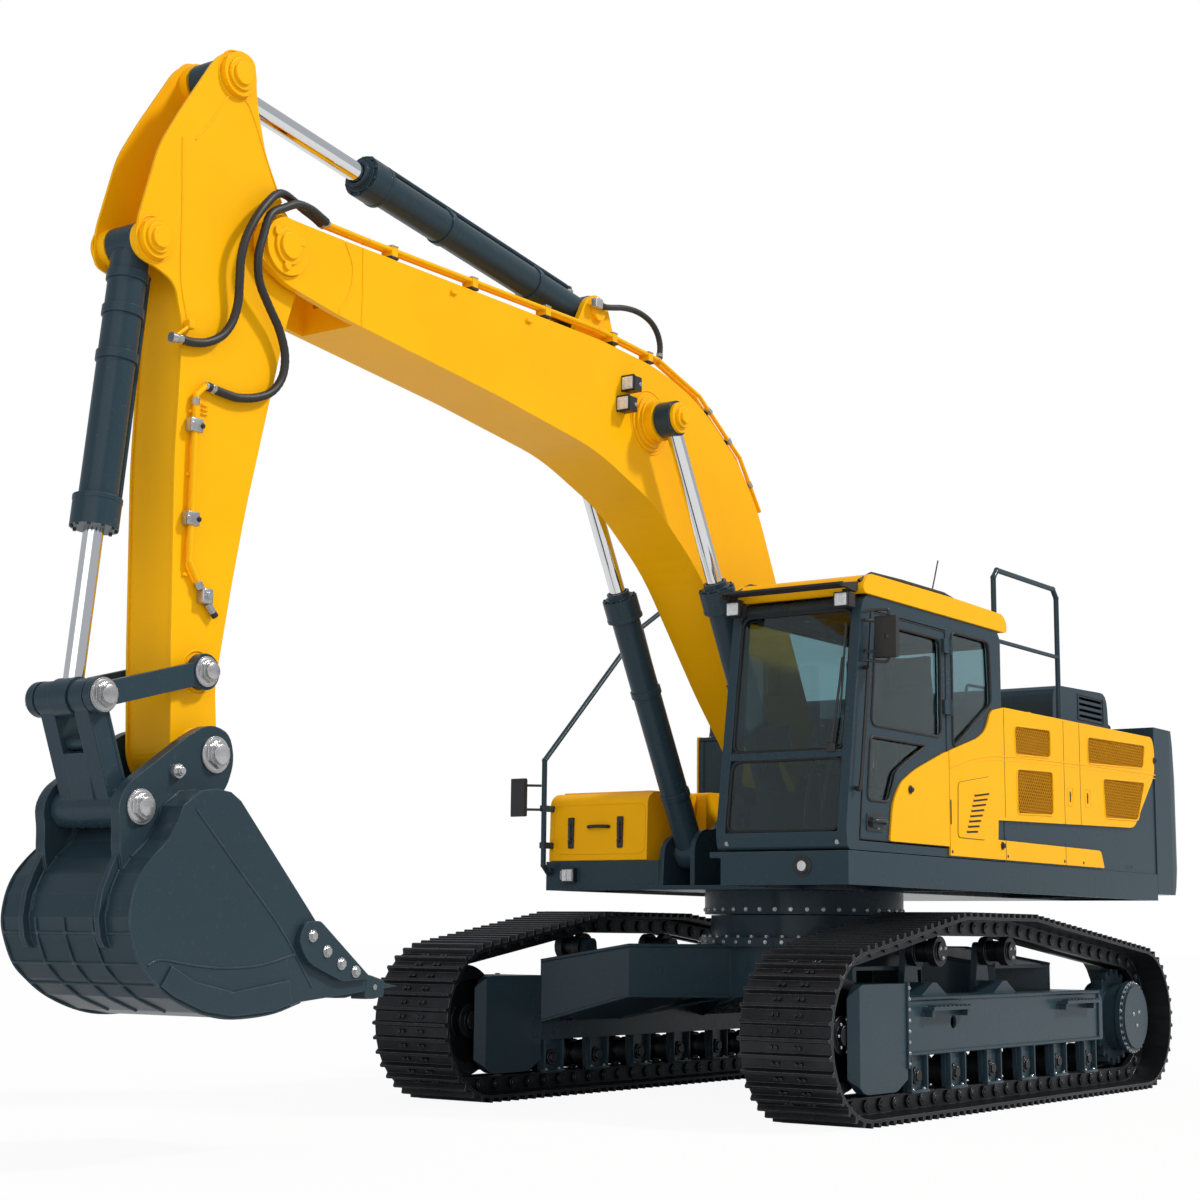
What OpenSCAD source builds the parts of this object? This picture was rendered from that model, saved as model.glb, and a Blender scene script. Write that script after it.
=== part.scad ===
// Crawler excavator: undercarriage, slewing house and digging gear.
// Millimetres, X forward, Y to the left, Z up, ground at zero.

/* [Undercarriage] */
// distance between idler and sprocket centres
tumbler = 4300; // [4000:10:4600]
// distance between the track centre lines
gauge = 2760; // [2500:10:3000]
// width of a track shoe
shoe = 600; // [500:50:800]
// radius to the grouser tips round the idlers
wrap_r = 515; // [480:5:560]
// height of the upper run over the carrier rollers
run_z = 1243; // [1150:1:1280]
// lower rollers on each side
lower_rollers = 6; // [6:1:10]
// grouser bars on each track
bars = 126; // [100:2:136]
// height of a grouser bar
bar_h = 30; // [20:1:40]

/* [House] */
// width over the side panels
house_w = 2980; // [2800:10:3100]
// distance of the tail from the slewing axis
tail = 3640; // [3400:10:3800]
// height of the frame underside
frame_z0 = 1386; // [1330:1:1420]
// height of the deck the cab stands on
frame_z1 = 1588; // [1540:1:1640]
// height of the side panels
panel_z = 2640; // [2500:10:2800]
// height of the cab roof
cab_z = 3290; // [3200:10:3400]
// inner side of the cab
cab_y0 = 570; // [540:5:640]
// outer side of the cab
cab_y1 = 1480; // [1400:5:1490]

/* [Digging gear] */
// half width of the boom
boom_h = 216; // [200:1:225]
// half width of the stick
arm_h = 154; // [140:1:165]
// half width of the bucket
bucket_h = 430; // [400:10:700]
// plate thickness of boom and stick
plate = 14; // [10:1:24]
// distance of the boom cylinders from the middle
boom_cyl_y = 380; // [370:1:400]

/* [Hidden] */
shift_x = -1605;
half_t = tumbler / 2;
half_g = gauge / 2;
// pins of the digging gear in the side plane
foot = [230, 2090];
tip = [5654, 4529];
boom_eye = [2320, 4300];
boom_base = [880, 1640];
arm_base = [2791, 4922];
arm_eye = [5977, 5354];
cyl_base = [6480, 4350];
link_pin = [6716, 2127];
idler_pin = [6086, 2299];
hook = [6075, 1900];
bucket_pin = [6529, 1630];
$fn = 48;

function unit(v) = v / norm(v);
function polar(c, r, a) = [c[0] + r * cos(a), c[1] + r * sin(a)];
function arc(c, r, a, b, n) = [for (i = [0:n]) polar(c, r, a + (b - a) * i / n)];
// corner points [x, z, cut] become short curves
function soft(p, n = 4) = [for (i = [0:len(p) - 1])
    let (k = len(p), m = [p[i][0], p[i][1]], q = p[(i + k - 1) % k], s = p[(i + 1) % k],
        d = min(p[i][2], .46 * norm([q[0], q[1]] - m), .46 * norm([s[0], s[1]] - m)))
    each d == 0 ? [m] : [for (j = [0:n])
        let (t = j / n, a = m + d * unit([q[0], q[1]] - m), b = m + d * unit([s[0], s[1]] - m))
        (1 - t) * (1 - t) * a + 2 * t * (1 - t) * m + t * t * b]];
// outline moved inward by d, points in anticlockwise order
function inset(p, d) = [for (i = [0:len(p) - 1])
    let (k = len(p), e = unit(p[i] - p[(i + k - 1) % k]), f = unit(p[(i + 1) % k] - p[i]),
        n = [-e[1], e[0]], m = [-f[1], f[0]])
    p[i] + d * (n + m) / (1 + n * m)];

module place() translate([shift_x, 0, 0]) children();
module slab(a, b) translate([0, b, 0]) rotate([90, 0, 0]) linear_extrude(b - a) children();
module both() { children(); mirror([0, 1, 0]) children(); }
module pin(c, r, a, b) translate([c[0], b, c[1]]) rotate([90, 0, 0]) cylinder(r = r, h = b - a);
module box(a, b) translate(a) cube(b - a);
module rod(p, q, r) translate(p) rotate([0, acos((q[2] - p[2]) / norm(q - p)), atan2(q[1] - p[1], q[0] - p[0])])
    cylinder(r = r, h = norm(q - p), $fn = 16);
module rail(pts, r) {
    for (i = [0:len(pts) - 2]) rod(pts[i], pts[i + 1], r);
    for (i = [1:len(pts) - 2]) translate(pts[i]) sphere(r = r * 1.1, $fn = 16);
}
// a cylinder along the line from pin a to pin b, starting s from a
module along(a, b, y) translate([a[0], y, a[1]]) rotate([0, 90 - atan2(b[1] - a[1], b[0] - a[0]), 0]) children();

// outline of a track, d inside the grouser tips
run_a = [884, run_z];
run_b = [-199, run_z];
function tangent_up(p, c, r, s) =
    let (v = c - p, a = atan2(v[1], v[0]), o = asin(r / norm(v))) s > 0 ? a + o + 90 : a - o - 90;
function loop(d) = let (r = wrap_r - d, cf = [half_t, wrap_r], cr = [-half_t, wrap_r],
        pa = run_a - [0, d], pb = run_b - [0, d],
        fa = tangent_up(pa, cf, r, 1), ra = tangent_up(pb, cr, r, -1))
    concat(arc(cf, r, -90, fa, 14), [pa, pb], arc(cr, r, ra + 360, 270, 14));

// path of the shoe plates, with bars standing out of it
tr = wrap_r - bar_h;
cf = [half_t, wrap_r];
cr = [-half_t, wrap_r];
pa = run_a - [0, bar_h];
pb = run_b - [0, bar_h];
fa = tangent_up(pa, cf, tr, 1);
ra = tangent_up(pb, cr, tr, -1) + 360;
e1 = polar(cf, tr, fa);
e2 = polar(cr, tr, ra);
c1 = tumbler;
c2 = c1 + tr * (fa + 90) * PI / 180;
c3 = c2 + norm(pa - e1);
c4 = c3 + norm(pb - pa);
c5 = c4 + norm(e2 - pb);
c6 = c5 + tr * (270 - ra) * PI / 180;
function side(a, b, t, h) = a + (b - a) * t + h * [b[1] - a[1], a[0] - b[0]] / norm(b - a);
function at(s, h) =
    s < c1 ? [s - half_t, bar_h - h] :
    s < c2 ? polar(cf, tr + h, -90 + (s - c1) / tr * 180 / PI) :
    s < c3 ? side(e1, pa, (s - c2) / (c3 - c2), h) :
    s < c4 ? side(pa, pb, (s - c3) / (c4 - c3), h) :
    s < c5 ? side(pb, e2, (s - c4) / (c5 - c4), h) :
    polar(cr, tr + h, ra + (s - c5) / tr * 180 / PI);
shoes = [for (i = [0:bars - 1]) let (s = (i + .5) * c6 / bars)
    each [at(s - 17, 0), at(s - 8, bar_h), at(s + 8, bar_h), at(s + 17, 0)]];
module track_run() {
    difference() {
        slab(-shoe / 2, shoe / 2) polygon(shoes);
        slab(-shoe / 2 - 1, shoe / 2 + 1) polygon(loop(48));
    }
    for (y = [-76, 76]) difference() {
        slab(y - 22, y + 22) polygon(loop(46));
        slab(y - 23, y + 23) polygon(loop(150));
    }
}
module track_l() color([.12, .13, .14]) place() translate([0, half_g, 0]) track_run();
module track_r() color([.12, .13, .14]) place() translate([0, -half_g, 0]) track_run();

// carrier rollers sit under the bends of the upper run
carrier_x = [run_a[0] - 20, run_b[0] + 10];
carrier_z = run_z - 152 - 95;
roller_x = [for (i = [0:lower_rollers - 1]) -1320 + i * 2660 / (lower_rollers - 1)];
module guard_plate(a, b) slab(a, b) polygon(soft([[1500, 240, 0], [1640, 172, 30], [2050, 172, 60], [2185, 290, 60],
    [2185, 690, 60], [2090, 805, 50], [1500, 805, 0]]));
module frame_side() {
    difference() {
        union() {
            slab(-180, 180) polygon(soft([[-1580, 372, 30], [1510, 372, 0], [1510, 722, 0], [-1500, 722, 30], [-1580, 660, 30]]));
            guard_plate(134, 190);
            guard_plate(-190, -134);
            slab(-135, 135) polygon([[1500, 372], [1740, 372], [1740, 805], [1500, 805]]);
            slab(-180, -132) polygon(soft([[-2330, 400, 80], [-1560, 400, 0], [-1560, 700, 0], [-2330, 690, 80]]));
        }
        slab(-160, 160) polygon([[-1600, 392], [1481, 392], [1481, 702], [-1600, 702]]);
        slab(-115, 115) polygon([[1470, 392], [1760, 392], [1760, 785], [1520, 785], [1520, 702], [1470, 702]]);
        // bevelled front edges of the guard
        for (y = [-1, 1]) translate([2195, y * 200, 100]) rotate([0, 0, 45]) translate([-75, -75, 0]) cube([150, 150, 800]);
        // tie-down hole through the outer plate
        pin([850, 560], 42, 150, 190);
    }
    for (x = roller_x) for (s = [-1, 1]) slab(s > 0 ? 124 : -156, s > 0 ? 156 : -124)
        polygon(soft([[x - 120, 374, 0], [x - 104, 150, 30], [x + 104, 150, 30], [x + 120, 374, 0]]));
    for (x = carrier_x) {
        slab(-150, -104) polygon(soft([[x - 110, 720, 0], [x + 110, 720, 0], [x + 60, carrier_z + 60, 40], [x - 60, carrier_z + 60, 40]]));
        for (s = [-1, 1]) slab(s > 0 ? -20 : -104, s > 0 ? 60 : -20)
            polygon([[x - 180, 720], [x + 180, 720], [x + 30, 800], [x - 30, 800]]);
    }
    // steps
    for (x = [720, -1330]) {
        box([x, 178, 640], [x + 560, 262, 662]);
        for (d = [20, 510]) box([x + d, 178, 600], [x + d + 30, 240, 645]);
    }
}
module track_frame_l() color([.14, .15, .16]) place() translate([0, half_g, 0]) frame_side();
module track_frame_r() color([.14, .15, .16]) place() translate([0, -half_g, 0]) mirror([0, 1, 0]) frame_side();

module idlers() color([.2, .2, .2]) place() both() translate([0, half_g, 0]) {
    difference() {
        union() {
            pin([half_t, wrap_r], 362, -46, 46);
            pin([half_t, wrap_r], 330, -98, 98);
        }
        for (s = [-1, 1]) difference() {
            pin([half_t, wrap_r], 270, s > 0 ? 30 : -99, s > 0 ? 99 : -30);
            pin([half_t, wrap_r], 110, s > 0 ? 29 : -100, s > 0 ? 100 : -29);
        }
    }
    pin([half_t, wrap_r], 60, -128, 128);
}

teeth = [for (i = [0:20]) let (a = i * 360 / 21) each [polar(cr, 306, a - 5.6), polar(cr, 352, a - 2.2), polar(cr, 352, a + 2.2), polar(cr, 306, a + 5.6)]];
module final_drives() color([.16, .17, .18]) place() both() translate([0, half_g, 0]) {
    slab(-42, 42) polygon(teeth);
    pin(cr, 246, -128, 200);
    pin(cr, 262, 150, 186);
    pin(cr, 228, 199, 214);
}

module rollers() color([.17, .17, .18]) place() both() translate([0, half_g, 0]) {
    for (x = roller_x) {
        pin([x, 252], 100, -118, -30);
        pin([x, 252], 100, 30, 118);
        pin([x, 252], 76, -31, 31);
    }
    for (x = carrier_x) {
        pin([x, carrier_z], 95, 46, 104);
        pin([x, carrier_z], 95, -98, -46);
        pin([x, carrier_z], 70, -47, 47);
        pin([x, carrier_z], 60, 103, 122);
    }
}

// plan and side slope of one leg of the car body
function leg(s, d) = [[s * (40 + d), 500], [s * (620 - d), 160], [s * (1165 - 1.3 * d), 700], [s * (1500 - 1.3 * d), half_g - 182 + d],
    [s * (560 + d), half_g - 182 + d]];
module legs(d) both() for (s = [-1, 1]) intersection() {
    translate([0, 0, 400]) linear_extrude(800) polygon(leg(s, d));
    translate([-1700, 0, 0]) rotate([90, 0, 90]) linear_extrude(3400) polygon([[0, 669 + d], [700, 669 + d], [half_g - 140, 478 + d],
        [half_g - 140, 890 - d], [700, 1012 - d], [0, 1012 - d]]);
}
module car_body() color([.13, .15, .16]) place() difference() {
    union() {
        difference() {
            legs(0);
            both() box([-2000, half_g - 182, 300], [2000, half_g, 1200]);
        }
        translate([0, 0, 669]) cylinder(r = 690, h = 343, $fn = 96);
        translate([0, 0, 1011]) cylinder(r = 740, h = 60, $fn = 96);
        translate([0, 0, 1070]) cylinder(r = 655, h = 154, $fn = 96);
    }
    legs(25);
    translate([0, 0, 694]) cylinder(r = 640, h = 293, $fn = 96);
    translate([0, 0, 900]) cylinder(r = 560, h = 400, $fn = 96);
}

module main_frame() color([.15, .18, .2]) place() {
    difference() {
        union() {
            translate([0, 0, 1231]) cylinder(r = 700, h = 160, $fn = 96);
            box([-2950, -720, frame_z0], [1080, 720, frame_z0 + 30]);
            // side decks with skirts
            box([-2950, 520, frame_z1 - 34], [2070, house_w / 2, frame_z1]);
            box([-2950, -house_w / 2, frame_z1 - 34], [1060, -520, frame_z1]);
            both() box([-2950, 520, frame_z0], [1080, 545, frame_z1]);
            both() box([-2950, 700, frame_z0], [1060, 720, frame_z1]);
            translate([-2950, house_w / 2, frame_z0]) mirror([0, 1, 0]) box([0, 0, 0], [5020, 18, 198]);
            translate([-2950, -house_w / 2, frame_z0]) box([0, 0, 0], [4010, 18, 198]);
            box([2052, 600, frame_z0], [2070, house_w / 2, frame_z1]);
            box([1040, -house_w / 2, frame_z0], [1060, -520, frame_z1]);
            box([1060, 600, frame_z0], [2070, 620, frame_z1]);
            both() for (x = [-2948, -1900, 300]) box([x, 540, frame_z0], [x + 20, house_w / 2 - 4, frame_z1 - 10]);
            both() slab(240, 275) polygon(soft([[-920, 1410, 0], [1060, 1410, 0], [1060, 1700, 60], [960, 1800, 80],
                [780, 1800, 80], [480, 2150, 120], [330, 2270, 90], [130, 2270, 90], [20, 2160, 90], [-920, 1700, 0]]));
            both() slab(484, 521) polygon(soft([[600, 1400, 0], [1078, 1400, 0], [1060, 1680, 80], [960, 1760, 60],
                [800, 1760, 60], [640, 1600, 60]]));
            both() pin(boom_base, 58, 270, 534);
            pin(foot, 62, -306, 306);
        }
        translate([0, 0, 1100]) cylinder(r = 560, h = 400, $fn = 96);
    }
}

tail_plan = soft([[-2962, -1488, 0], [-2962, 1488, 0], [-3470, 1488, 170], [2 - tail - 300, 1150, 0], [2 - tail - 300, -1150, 0],
    [-3470, -1488, 170]]);
module tail_slice(z, h, r1, r2) intersection() {
    translate([0, 0, z]) linear_extrude(h) polygon(tail_plan);
    translate([6000 - tail, 0, z]) cylinder(r1 = r1, r2 = r2, h = h, $fn = 256);
}
module counterweight() color([.15, .18, .2]) place() difference() {
    union() {
        tail_slice(1436, 212, 5900, 6000);
        tail_slice(1648, 713, 6000, 6000);
        tail_slice(2361, 386, 6000, 5900);
    }
    box([-3330, -1300, 1560], [-2950, 1300, 2640]);
}
// sockets for lifting eyes on the top of the counterweight
module lift_sockets() color([.15, .18, .2]) place() both() translate([-3440, 700, 2747]) difference() {
    cylinder(r = 82, h = 80);
    translate([0, 0, -1]) cylinder(r = 45, h = 82);
}

cab_pts = [[-130, frame_z1 + 6, 0], [2060, frame_z1 + 6, 40], [2078, frame_z1 + 120, 30], [1868, 3070, 60],
    [1800, 3160, 60], [-80, 3160, 40], [-130, 3110, 40]];
cab_out = soft(cab_pts);
cab_in = inset([for (p = cab_pts) [p[0], p[1]]], 45);
door_hole = [[712, 1650], [1925, 1650], [1752, 3070], [712, 3070]];
rear_hole = soft([[30, 2640, 60], [630, 2300, 60], [630, 3070, 40], [60, 3070, 60]]);
right_hole = soft([[60, 2000, 60], [1840, 2000, 60], [1735, 3070, 60], [60, 3070, 60]]);
module cab_shell() color([.15, .18, .2]) place() {
    difference() {
        slab(cab_y0, cab_y1) polygon(cab_out);
        slab(cab_y0 + 45, cab_y1 - 45) polygon(cab_in);
        slab(cab_y0 + 62, cab_y1 - 62) polygon([[1600, 1700], [2200, 1700], [2200, 3070], [1600, 3070]]);
        slab(cab_y1 - 60, cab_y1 + 10) polygon(door_hole);
        slab(cab_y1 - 60, cab_y1 + 10) polygon(rear_hole);
        slab(cab_y0 - 10, cab_y0 + 60) polygon(right_hole);
        box([-200, cab_y0 + 90, 2300], [-60, cab_y1 - 90, 3060]);
        box([500, cab_y0 + 170, 3100], [1300, cab_y1 - 170, 3200]);
    }
    slab(cab_y0 + 50, cab_y1 - 50) polygon([[1945, 2150], [2006, 2150], [1999, 2195], [1938, 2195]]);
}
// roof skin over the shell, with a window in it
module cab_roof() color([.95, .68, .1]) place() difference() {
    slab(cab_y0 - 12, cab_y1 + 14) polygon(soft([[-215, 3162, 30], [1838, 3162, 20], [1870, 3200, 30], [1790, cab_z, 60],
        [600, cab_z + 6, 200], [-150, cab_z - 6, 60], [-215, cab_z - 60, 30]]));
    slab(cab_y0 + 10, cab_y1 - 8) polygon([[-190, 3150], [1810, 3150], [1810, cab_z - 60], [-190, cab_z - 60]]);
    box([520, cab_y0 + 190, 3100], [1280, cab_y1 - 190, 3400]);
}
// slatted sun shield over the windscreen
module cab_visor() color([.1, .11, .12]) place() {
    for (y = [cab_y0 + 16, cab_y1 - 36]) slab(y, y + 20) polygon([[1874, 3180], [1894, 3160], [2070, 3178], [2070, 3196], [1874, 3230]]);
    for (x = [1886, 1935, 1984, 2033]) slab(cab_y0 + 30, cab_y1 - 30) polygon([[x, 3196], [x + 34, 3190], [x + 34, 3204], [x, 3210]]);
}

module cab_glass() color([.5, .6, .65, .5]) place() {
    slab(cab_y0 + 64, cab_y1 - 64) polygon([[2046, 1704], [2054, 1704], [1990, 2148], [1982, 2148]]);
    slab(cab_y0 + 64, cab_y1 - 64) polygon([[1975, 2197], [1983, 2197], [1850, 3068], [1842, 3068]]);
    slab(cab_y1 - 26, cab_y1 - 18) polygon(inset(rear_hole, 2));
    slab(cab_y0 + 18, cab_y0 + 26) polygon(inset(right_hole, 2));
    box([-108, cab_y0 + 92, 2302], [-100, cab_y1 - 92, 3058]);
    box([522, cab_y0 + 192, cab_z - 30], [1278, cab_y1 - 192, cab_z - 22]);
}

module operator_station() color([.1, .1, .11]) place() {
    box([380, 800, 1640], [900, 1250, 1900]);
    slab(790, 1260) polygon(soft([[420, 1890, 0], [960, 1890, 60], [990, 2020, 60], [520, 2040, 40], [380, 2760, 50],
        [270, 2760, 50], [330, 1990, 0]]));
    slab(860, 1190) polygon(soft([[270, 2755, 0], [385, 2755, 0], [375, 2950, 40], [285, 2950, 40]]));
    box([420, 660, 1640], [1200, 790, 2140]);
    box([420, 1260, 1640], [1150, 1380, 2140]);
}

door_out = [[720, 1658], [1916, 1658], [1744, 3062], [720, 3062]];
door_win = soft([[800, 2360, 50], [1756, 2360, 60], [1676, 3000, 60], [800, 3000, 60]]);
door_low = soft([[1540, 1900, 40], [1815, 1900, 50], [1766, 2290, 40], [1010, 2290, 30], [1240, 2190, 40], [1440, 2090, 40]]);
module cab_door() color([.15, .18, .2]) place() {
    difference() {
        slab(cab_y1 - 40, cab_y1) polygon(door_out);
        slab(cab_y1 - 41, cab_y1 + 1) polygon(door_win);
        slab(cab_y1 - 41, cab_y1 + 1) polygon(door_low);
    }
    for (z = [2560, 2960]) {
        translate([690, 1500, z - 50]) cylinder(r = 14, h = 100);
        box([690, 1489, z - 45], [780, 1505, z + 45]);
        box([724, cab_y1 - 2, z - 45], [780, 1490, z + 45]);
    }
    // grip
    slab(cab_y1 - 1, cab_y1 + 26) polygon(soft([[1640, 1735, 20], [1790, 1735, 20], [1790, 1800, 20], [1640, 1800, 20]]));
}
module door_glass() color([.5, .6, .65, .5]) place() {
    slab(cab_y1 - 24, cab_y1 - 18) polygon(inset(door_win, 2));
    slab(cab_y1 - 24, cab_y1 - 18) polygon(inset(door_low, 2));
}
module door_panel() color([.95, .68, .1]) place()
    slab(cab_y1 + 1, cab_y1 + 15) polygon(soft([[724, 1662, 0], [1548, 1662, 20], [1504, 1900, 60], [1396, 2030, 60],
        [1193, 2125, 60], [780, 2262, 20], [724, 2274, 0]]));

// dark walls behind the outer skins, with bulkheads
module side_walls() color([.12, .14, .16]) place() {
    slab(1436, cab_y1 - 2) polygon([[-2955, frame_z1 + 2], [-150, frame_z1 + 2], [-150, 2600], [-2955, 2600]]);
    slab(-cab_y1 + 2, -1436) polygon([[-2955, frame_z1 + 2], [-930, frame_z1 + 2], [-930, 2600], [-2955, 2600]]);
    box([-200, 545, frame_z1 + 2], [-160, 1440, 2600]);
    box([-980, -1440, frame_z1 + 2], [-940, 545, 2600]);
    box([-980, 520, frame_z1 + 2], [-160, 560, 2600]);
}
// openings of the outer skin: two pairs of grilles
hole_1 = soft([[-912, 2350, 30], [-312, 2330, 30], [-300, 2530, 30], [-912, 2550, 30]]);
hole_2 = soft([[-942, 1945, 30], [-330, 1925, 30], [-330, 2235, 30], [-942, 2255, 30]]);
hole_3 = soft([[-2700, 2400, 30], [-1590, 2360, 30], [-1590, 2560, 30], [-2740, 2585, 30]]);
hole_4 = soft([[-2560, 1990, 40], [-1900, 1975, 40], [-1870, 2270, 40], [-2720, 2295, 40]]);
module skin(a, b, front, sx, holes) difference() {
    slab(a, b) polygon(soft(concat(front, [[-2900, panel_z + 20, 60], [-2945, 2560, 60], [-2930, 2360, 60],
        [-2480, 1930, 80], [sx, 1867, 0], [sx + 10, 1735, 0], [-1800, 1730, 40], [-1860, 1604, 20]])));
    for (h = holes) slab(a - 10, b + 10) polygon(h);
}
module left_panels() color([.95, .68, .1]) place() skin(cab_y1 + 2, cab_y1 + 16, [[716, 1604, 0], [716, 2278, 10], [265, 2400, 60],
    [150, 2460, 60], [70, 2600, 60], [-140, panel_z, 20]], -20, [hole_1, hole_2, hole_3, hole_4]);
module right_panels() color([.95, .68, .1]) place() skin(-cab_y1 - 16, -cab_y1 - 2, [[-925, 1604, 20], [-925, panel_z, 20]],
    -1100, [hole_3, hole_4]);
// slatted inserts of the grille openings
module slats(h, a, b, x0, x1, z0, z1) intersection() {
    slab(a, b) polygon(inset(h, 2));
    union() {
        for (z = [z0:44:z1]) box([x0, a - 5, z], [x1, b + 5, z + 20]);
        for (i = [0:2]) box([x0 + (x1 - x0) * (i + .5) / 3 - 14, a - 5, z0 - 60], [x0 + (x1 - x0) * (i + .5) / 3 + 14, b + 5, z1 + 60]);
    }
}
module grilles() color([.6, .42, .08]) place() {
    slats(hole_1, cab_y1 + 4, cab_y1 + 11, -920, -290, 2345, 2540);
    slats(hole_2, cab_y1 + 4, cab_y1 + 11, -950, -320, 1940, 2240);
    both() {
        slats(hole_3, cab_y1 + 4, cab_y1 + 11, -2750, -1580, 2370, 2580);
        slats(hole_4, cab_y1 + 4, cab_y1 + 11, -2740, -1860, 1985, 2290);
    }
}

module engine_hood() color([.15, .18, .2]) place() {
    box([-2955, 545, 2606], [-150, 1476, 2632]);
    box([-2955, -1476, 2606], [-930, 550, 2632]);
    difference() {
        slab(-1000, 1250) polygon(soft([[-2640, 2631, 0], [-1540, 2631, 0], [-1560, 2960, 120], [-2600, 2990, 120]]));
        slab(-985, 1235) polygon([[-2600, 2500], [-1580, 2500], [-1600, 2900], [-2560, 2930]]);
        for (z = [2760:45:2900]) box([-2500, 1200, z], [-2050, 1300, z + 22]);
        for (z = [2760:45:2900]) box([-2500, -1100, z], [-2050, -950, z + 22]);
    }
}

module engine_block() color([.3, .3, .3]) place() difference() {
    box([-2600, -510, 1420], [-1500, 390, 2400]);
    box([-2572, -482, 1400], [-1528, 362, 2370]);
}

module toolbox() color([.95, .68, .1]) place() difference() {
    slab(-1475, -640) polygon(soft([[420, frame_z1 + 2, 0], [1048, frame_z1 + 2, 10], [1035, 2020, 60], [960, 2070, 60], [420, 2070, 0]]));
    slab(-1460, -655) polygon([[435, frame_z1 + 17], [1031, frame_z1 + 17], [1018, 2010], [955, 2055], [435, 2055]]);
}

module fuel_tank() color([.95, .68, .1]) place() difference() {
    slab(-1480, -560) polygon(soft([[-900, frame_z1 + 2, 0], [410, frame_z1 + 2, 0], [410, 2090, 50], [-900, 2130, 40]]));
    slab(-1472, -568) polygon([[-892, frame_z1 + 10], [402, frame_z1 + 10], [402, 2060], [-892, 2100]]);
}

module handrails() color([.15, .18, .2]) place() {
    rail([[1083, -1450, 1500], [1150, -1450, 1560], [1150, -1450, 2300], [-52, -1450, 3400], [-330, -1450, 3560], [-1030, -1450, 3560],
        [-1080, -1450, 3510], [-1080, -1450, 2634]], 19);
    rod([-62, -1450, 3395], [-694, -1450, 2134], 17);
    rail([[-262, 1380, 2634], [-262, 1380, 3570], [-322, 1380, 3630], [-1290, 1380, 3630], [-1350, 1380, 3570], [-1350, 1380, 2634]], 19);
    rod([-262, 1380, 3130], [-1350, 1380, 3130], 15);
}

module mirrors() color([.1, .1, .1]) place() {
    slab(1530, 1676) polygon(soft([[1750, 2760, 20], [1792, 2760, 10], [1792, 3020, 10], [1750, 3020, 20]]));
    for (z = [2800, 2990]) rod([1850, 1490, z], [1775, 1540, z], 10);
    slab(-1660, -1540) polygon(soft([[1230, 1900, 20], [1266, 1900, 10], [1266, 2170, 10], [1230, 2170, 20]]));
    for (z = [1950, 2120]) rod([1168, -1462, z], [1245, -1550, z], 9);
}

module house_lamps() color([.2, .2, .2]) place() {
    for (y = [cab_y0 + 70, cab_y1 - 70]) box([1900, y - 48, 3064], [1990, y + 48, 3150]);
    box([1062, -1330, 1440], [1100, -1220, 1540]);
}

module exhaust_stack() color([.2, .2, .2]) place() {
    translate([-1900, -600, 2980]) cylinder(r = 70, h = 300);
}

boom_out = soft([[60, 2120, 60], [130, 1950, 60], [330, 1930, 90], [1100, 2700, 100], [1750, 3440, 200], [2250, 3780, 200],
    [2900, 4010, 200], [3900, 4140, 100], [5250, 4275, 100], [5640, 4340, 60], [5830, 4430, 70], [5850, 4570, 70],
    [5720, 4690, 60], [5260, 4690, 60], [2854, 4713, 120], [2197, 4676, 200], [1728, 4550, 180], [1235, 4246, 160],
    [979, 3952, 140], [80, 2230, 60]]);
module boom() color([.95, .68, .1]) place() {
    difference() {
        union() {
            difference() {
                slab(-boom_h, boom_h) polygon(boom_out);
                slab(plate - boom_h, boom_h - plate) polygon(inset(boom_out, plate));
            }
            pin(foot, 140, -235, 235);
            intersection() {
                slab(-boom_h, boom_h) polygon(boom_out);
                union() {
                    box([5040, -300, 4000], [5090, 300, 5000]);
                    both() box([5040, 180, 4000], [6000, 300, 5000]);
                }
            }
            both() pin(tip, 150, 180, boom_h + 24);
            both() pin(boom_eye, 130, boom_h - 20, 316);
            both() slab(98, 135) polygon(soft([[2560, 4690, 0], [3060, 4690, 0], [2900, 4990, 60], [2791, 5040, 60],
                [2680, 4990, 60]]));
            pin(arm_base, 58, -160, 160);
        }
        pin(foot, 62.6, -240, 240);
        // open end between the cheeks of the boom head
        box([5090, -180, 4000], [6000, 180, 5000]);
        box([5030, -110, 4400], [5100, 110, 4580]);
    }
    pin(tip, 62, -262, 262);
}

boom_run = [[930, 3960], [1190, 4290], [1700, 4610], [2190, 4745], [2860, 4785], [5000, 4750], [5330, 4750]];
module boom_pipes() color([.9, .65, .1]) place() both() {
    for (y = [158, 198]) rail([for (p = boom_run) [p[0], y, p[1]]], 14);
    for (p = [[2300, 4740], [2700, 4770], [3400, 4766], [4100, 4756], [4800, 4746]])
        box([p[0] - 24, 136, p[1] - 44], [p[0] + 24, 214, p[1] + 26]);
}

module boom_lamps() color([.2, .2, .2]) place() both() {
    for (p = [[2560, 4440], [2610, 4300]]) box([p[0] - 20, boom_h + 2, p[1]], [p[0] + 70, boom_h + 92, p[1] + 90]);
}

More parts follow.
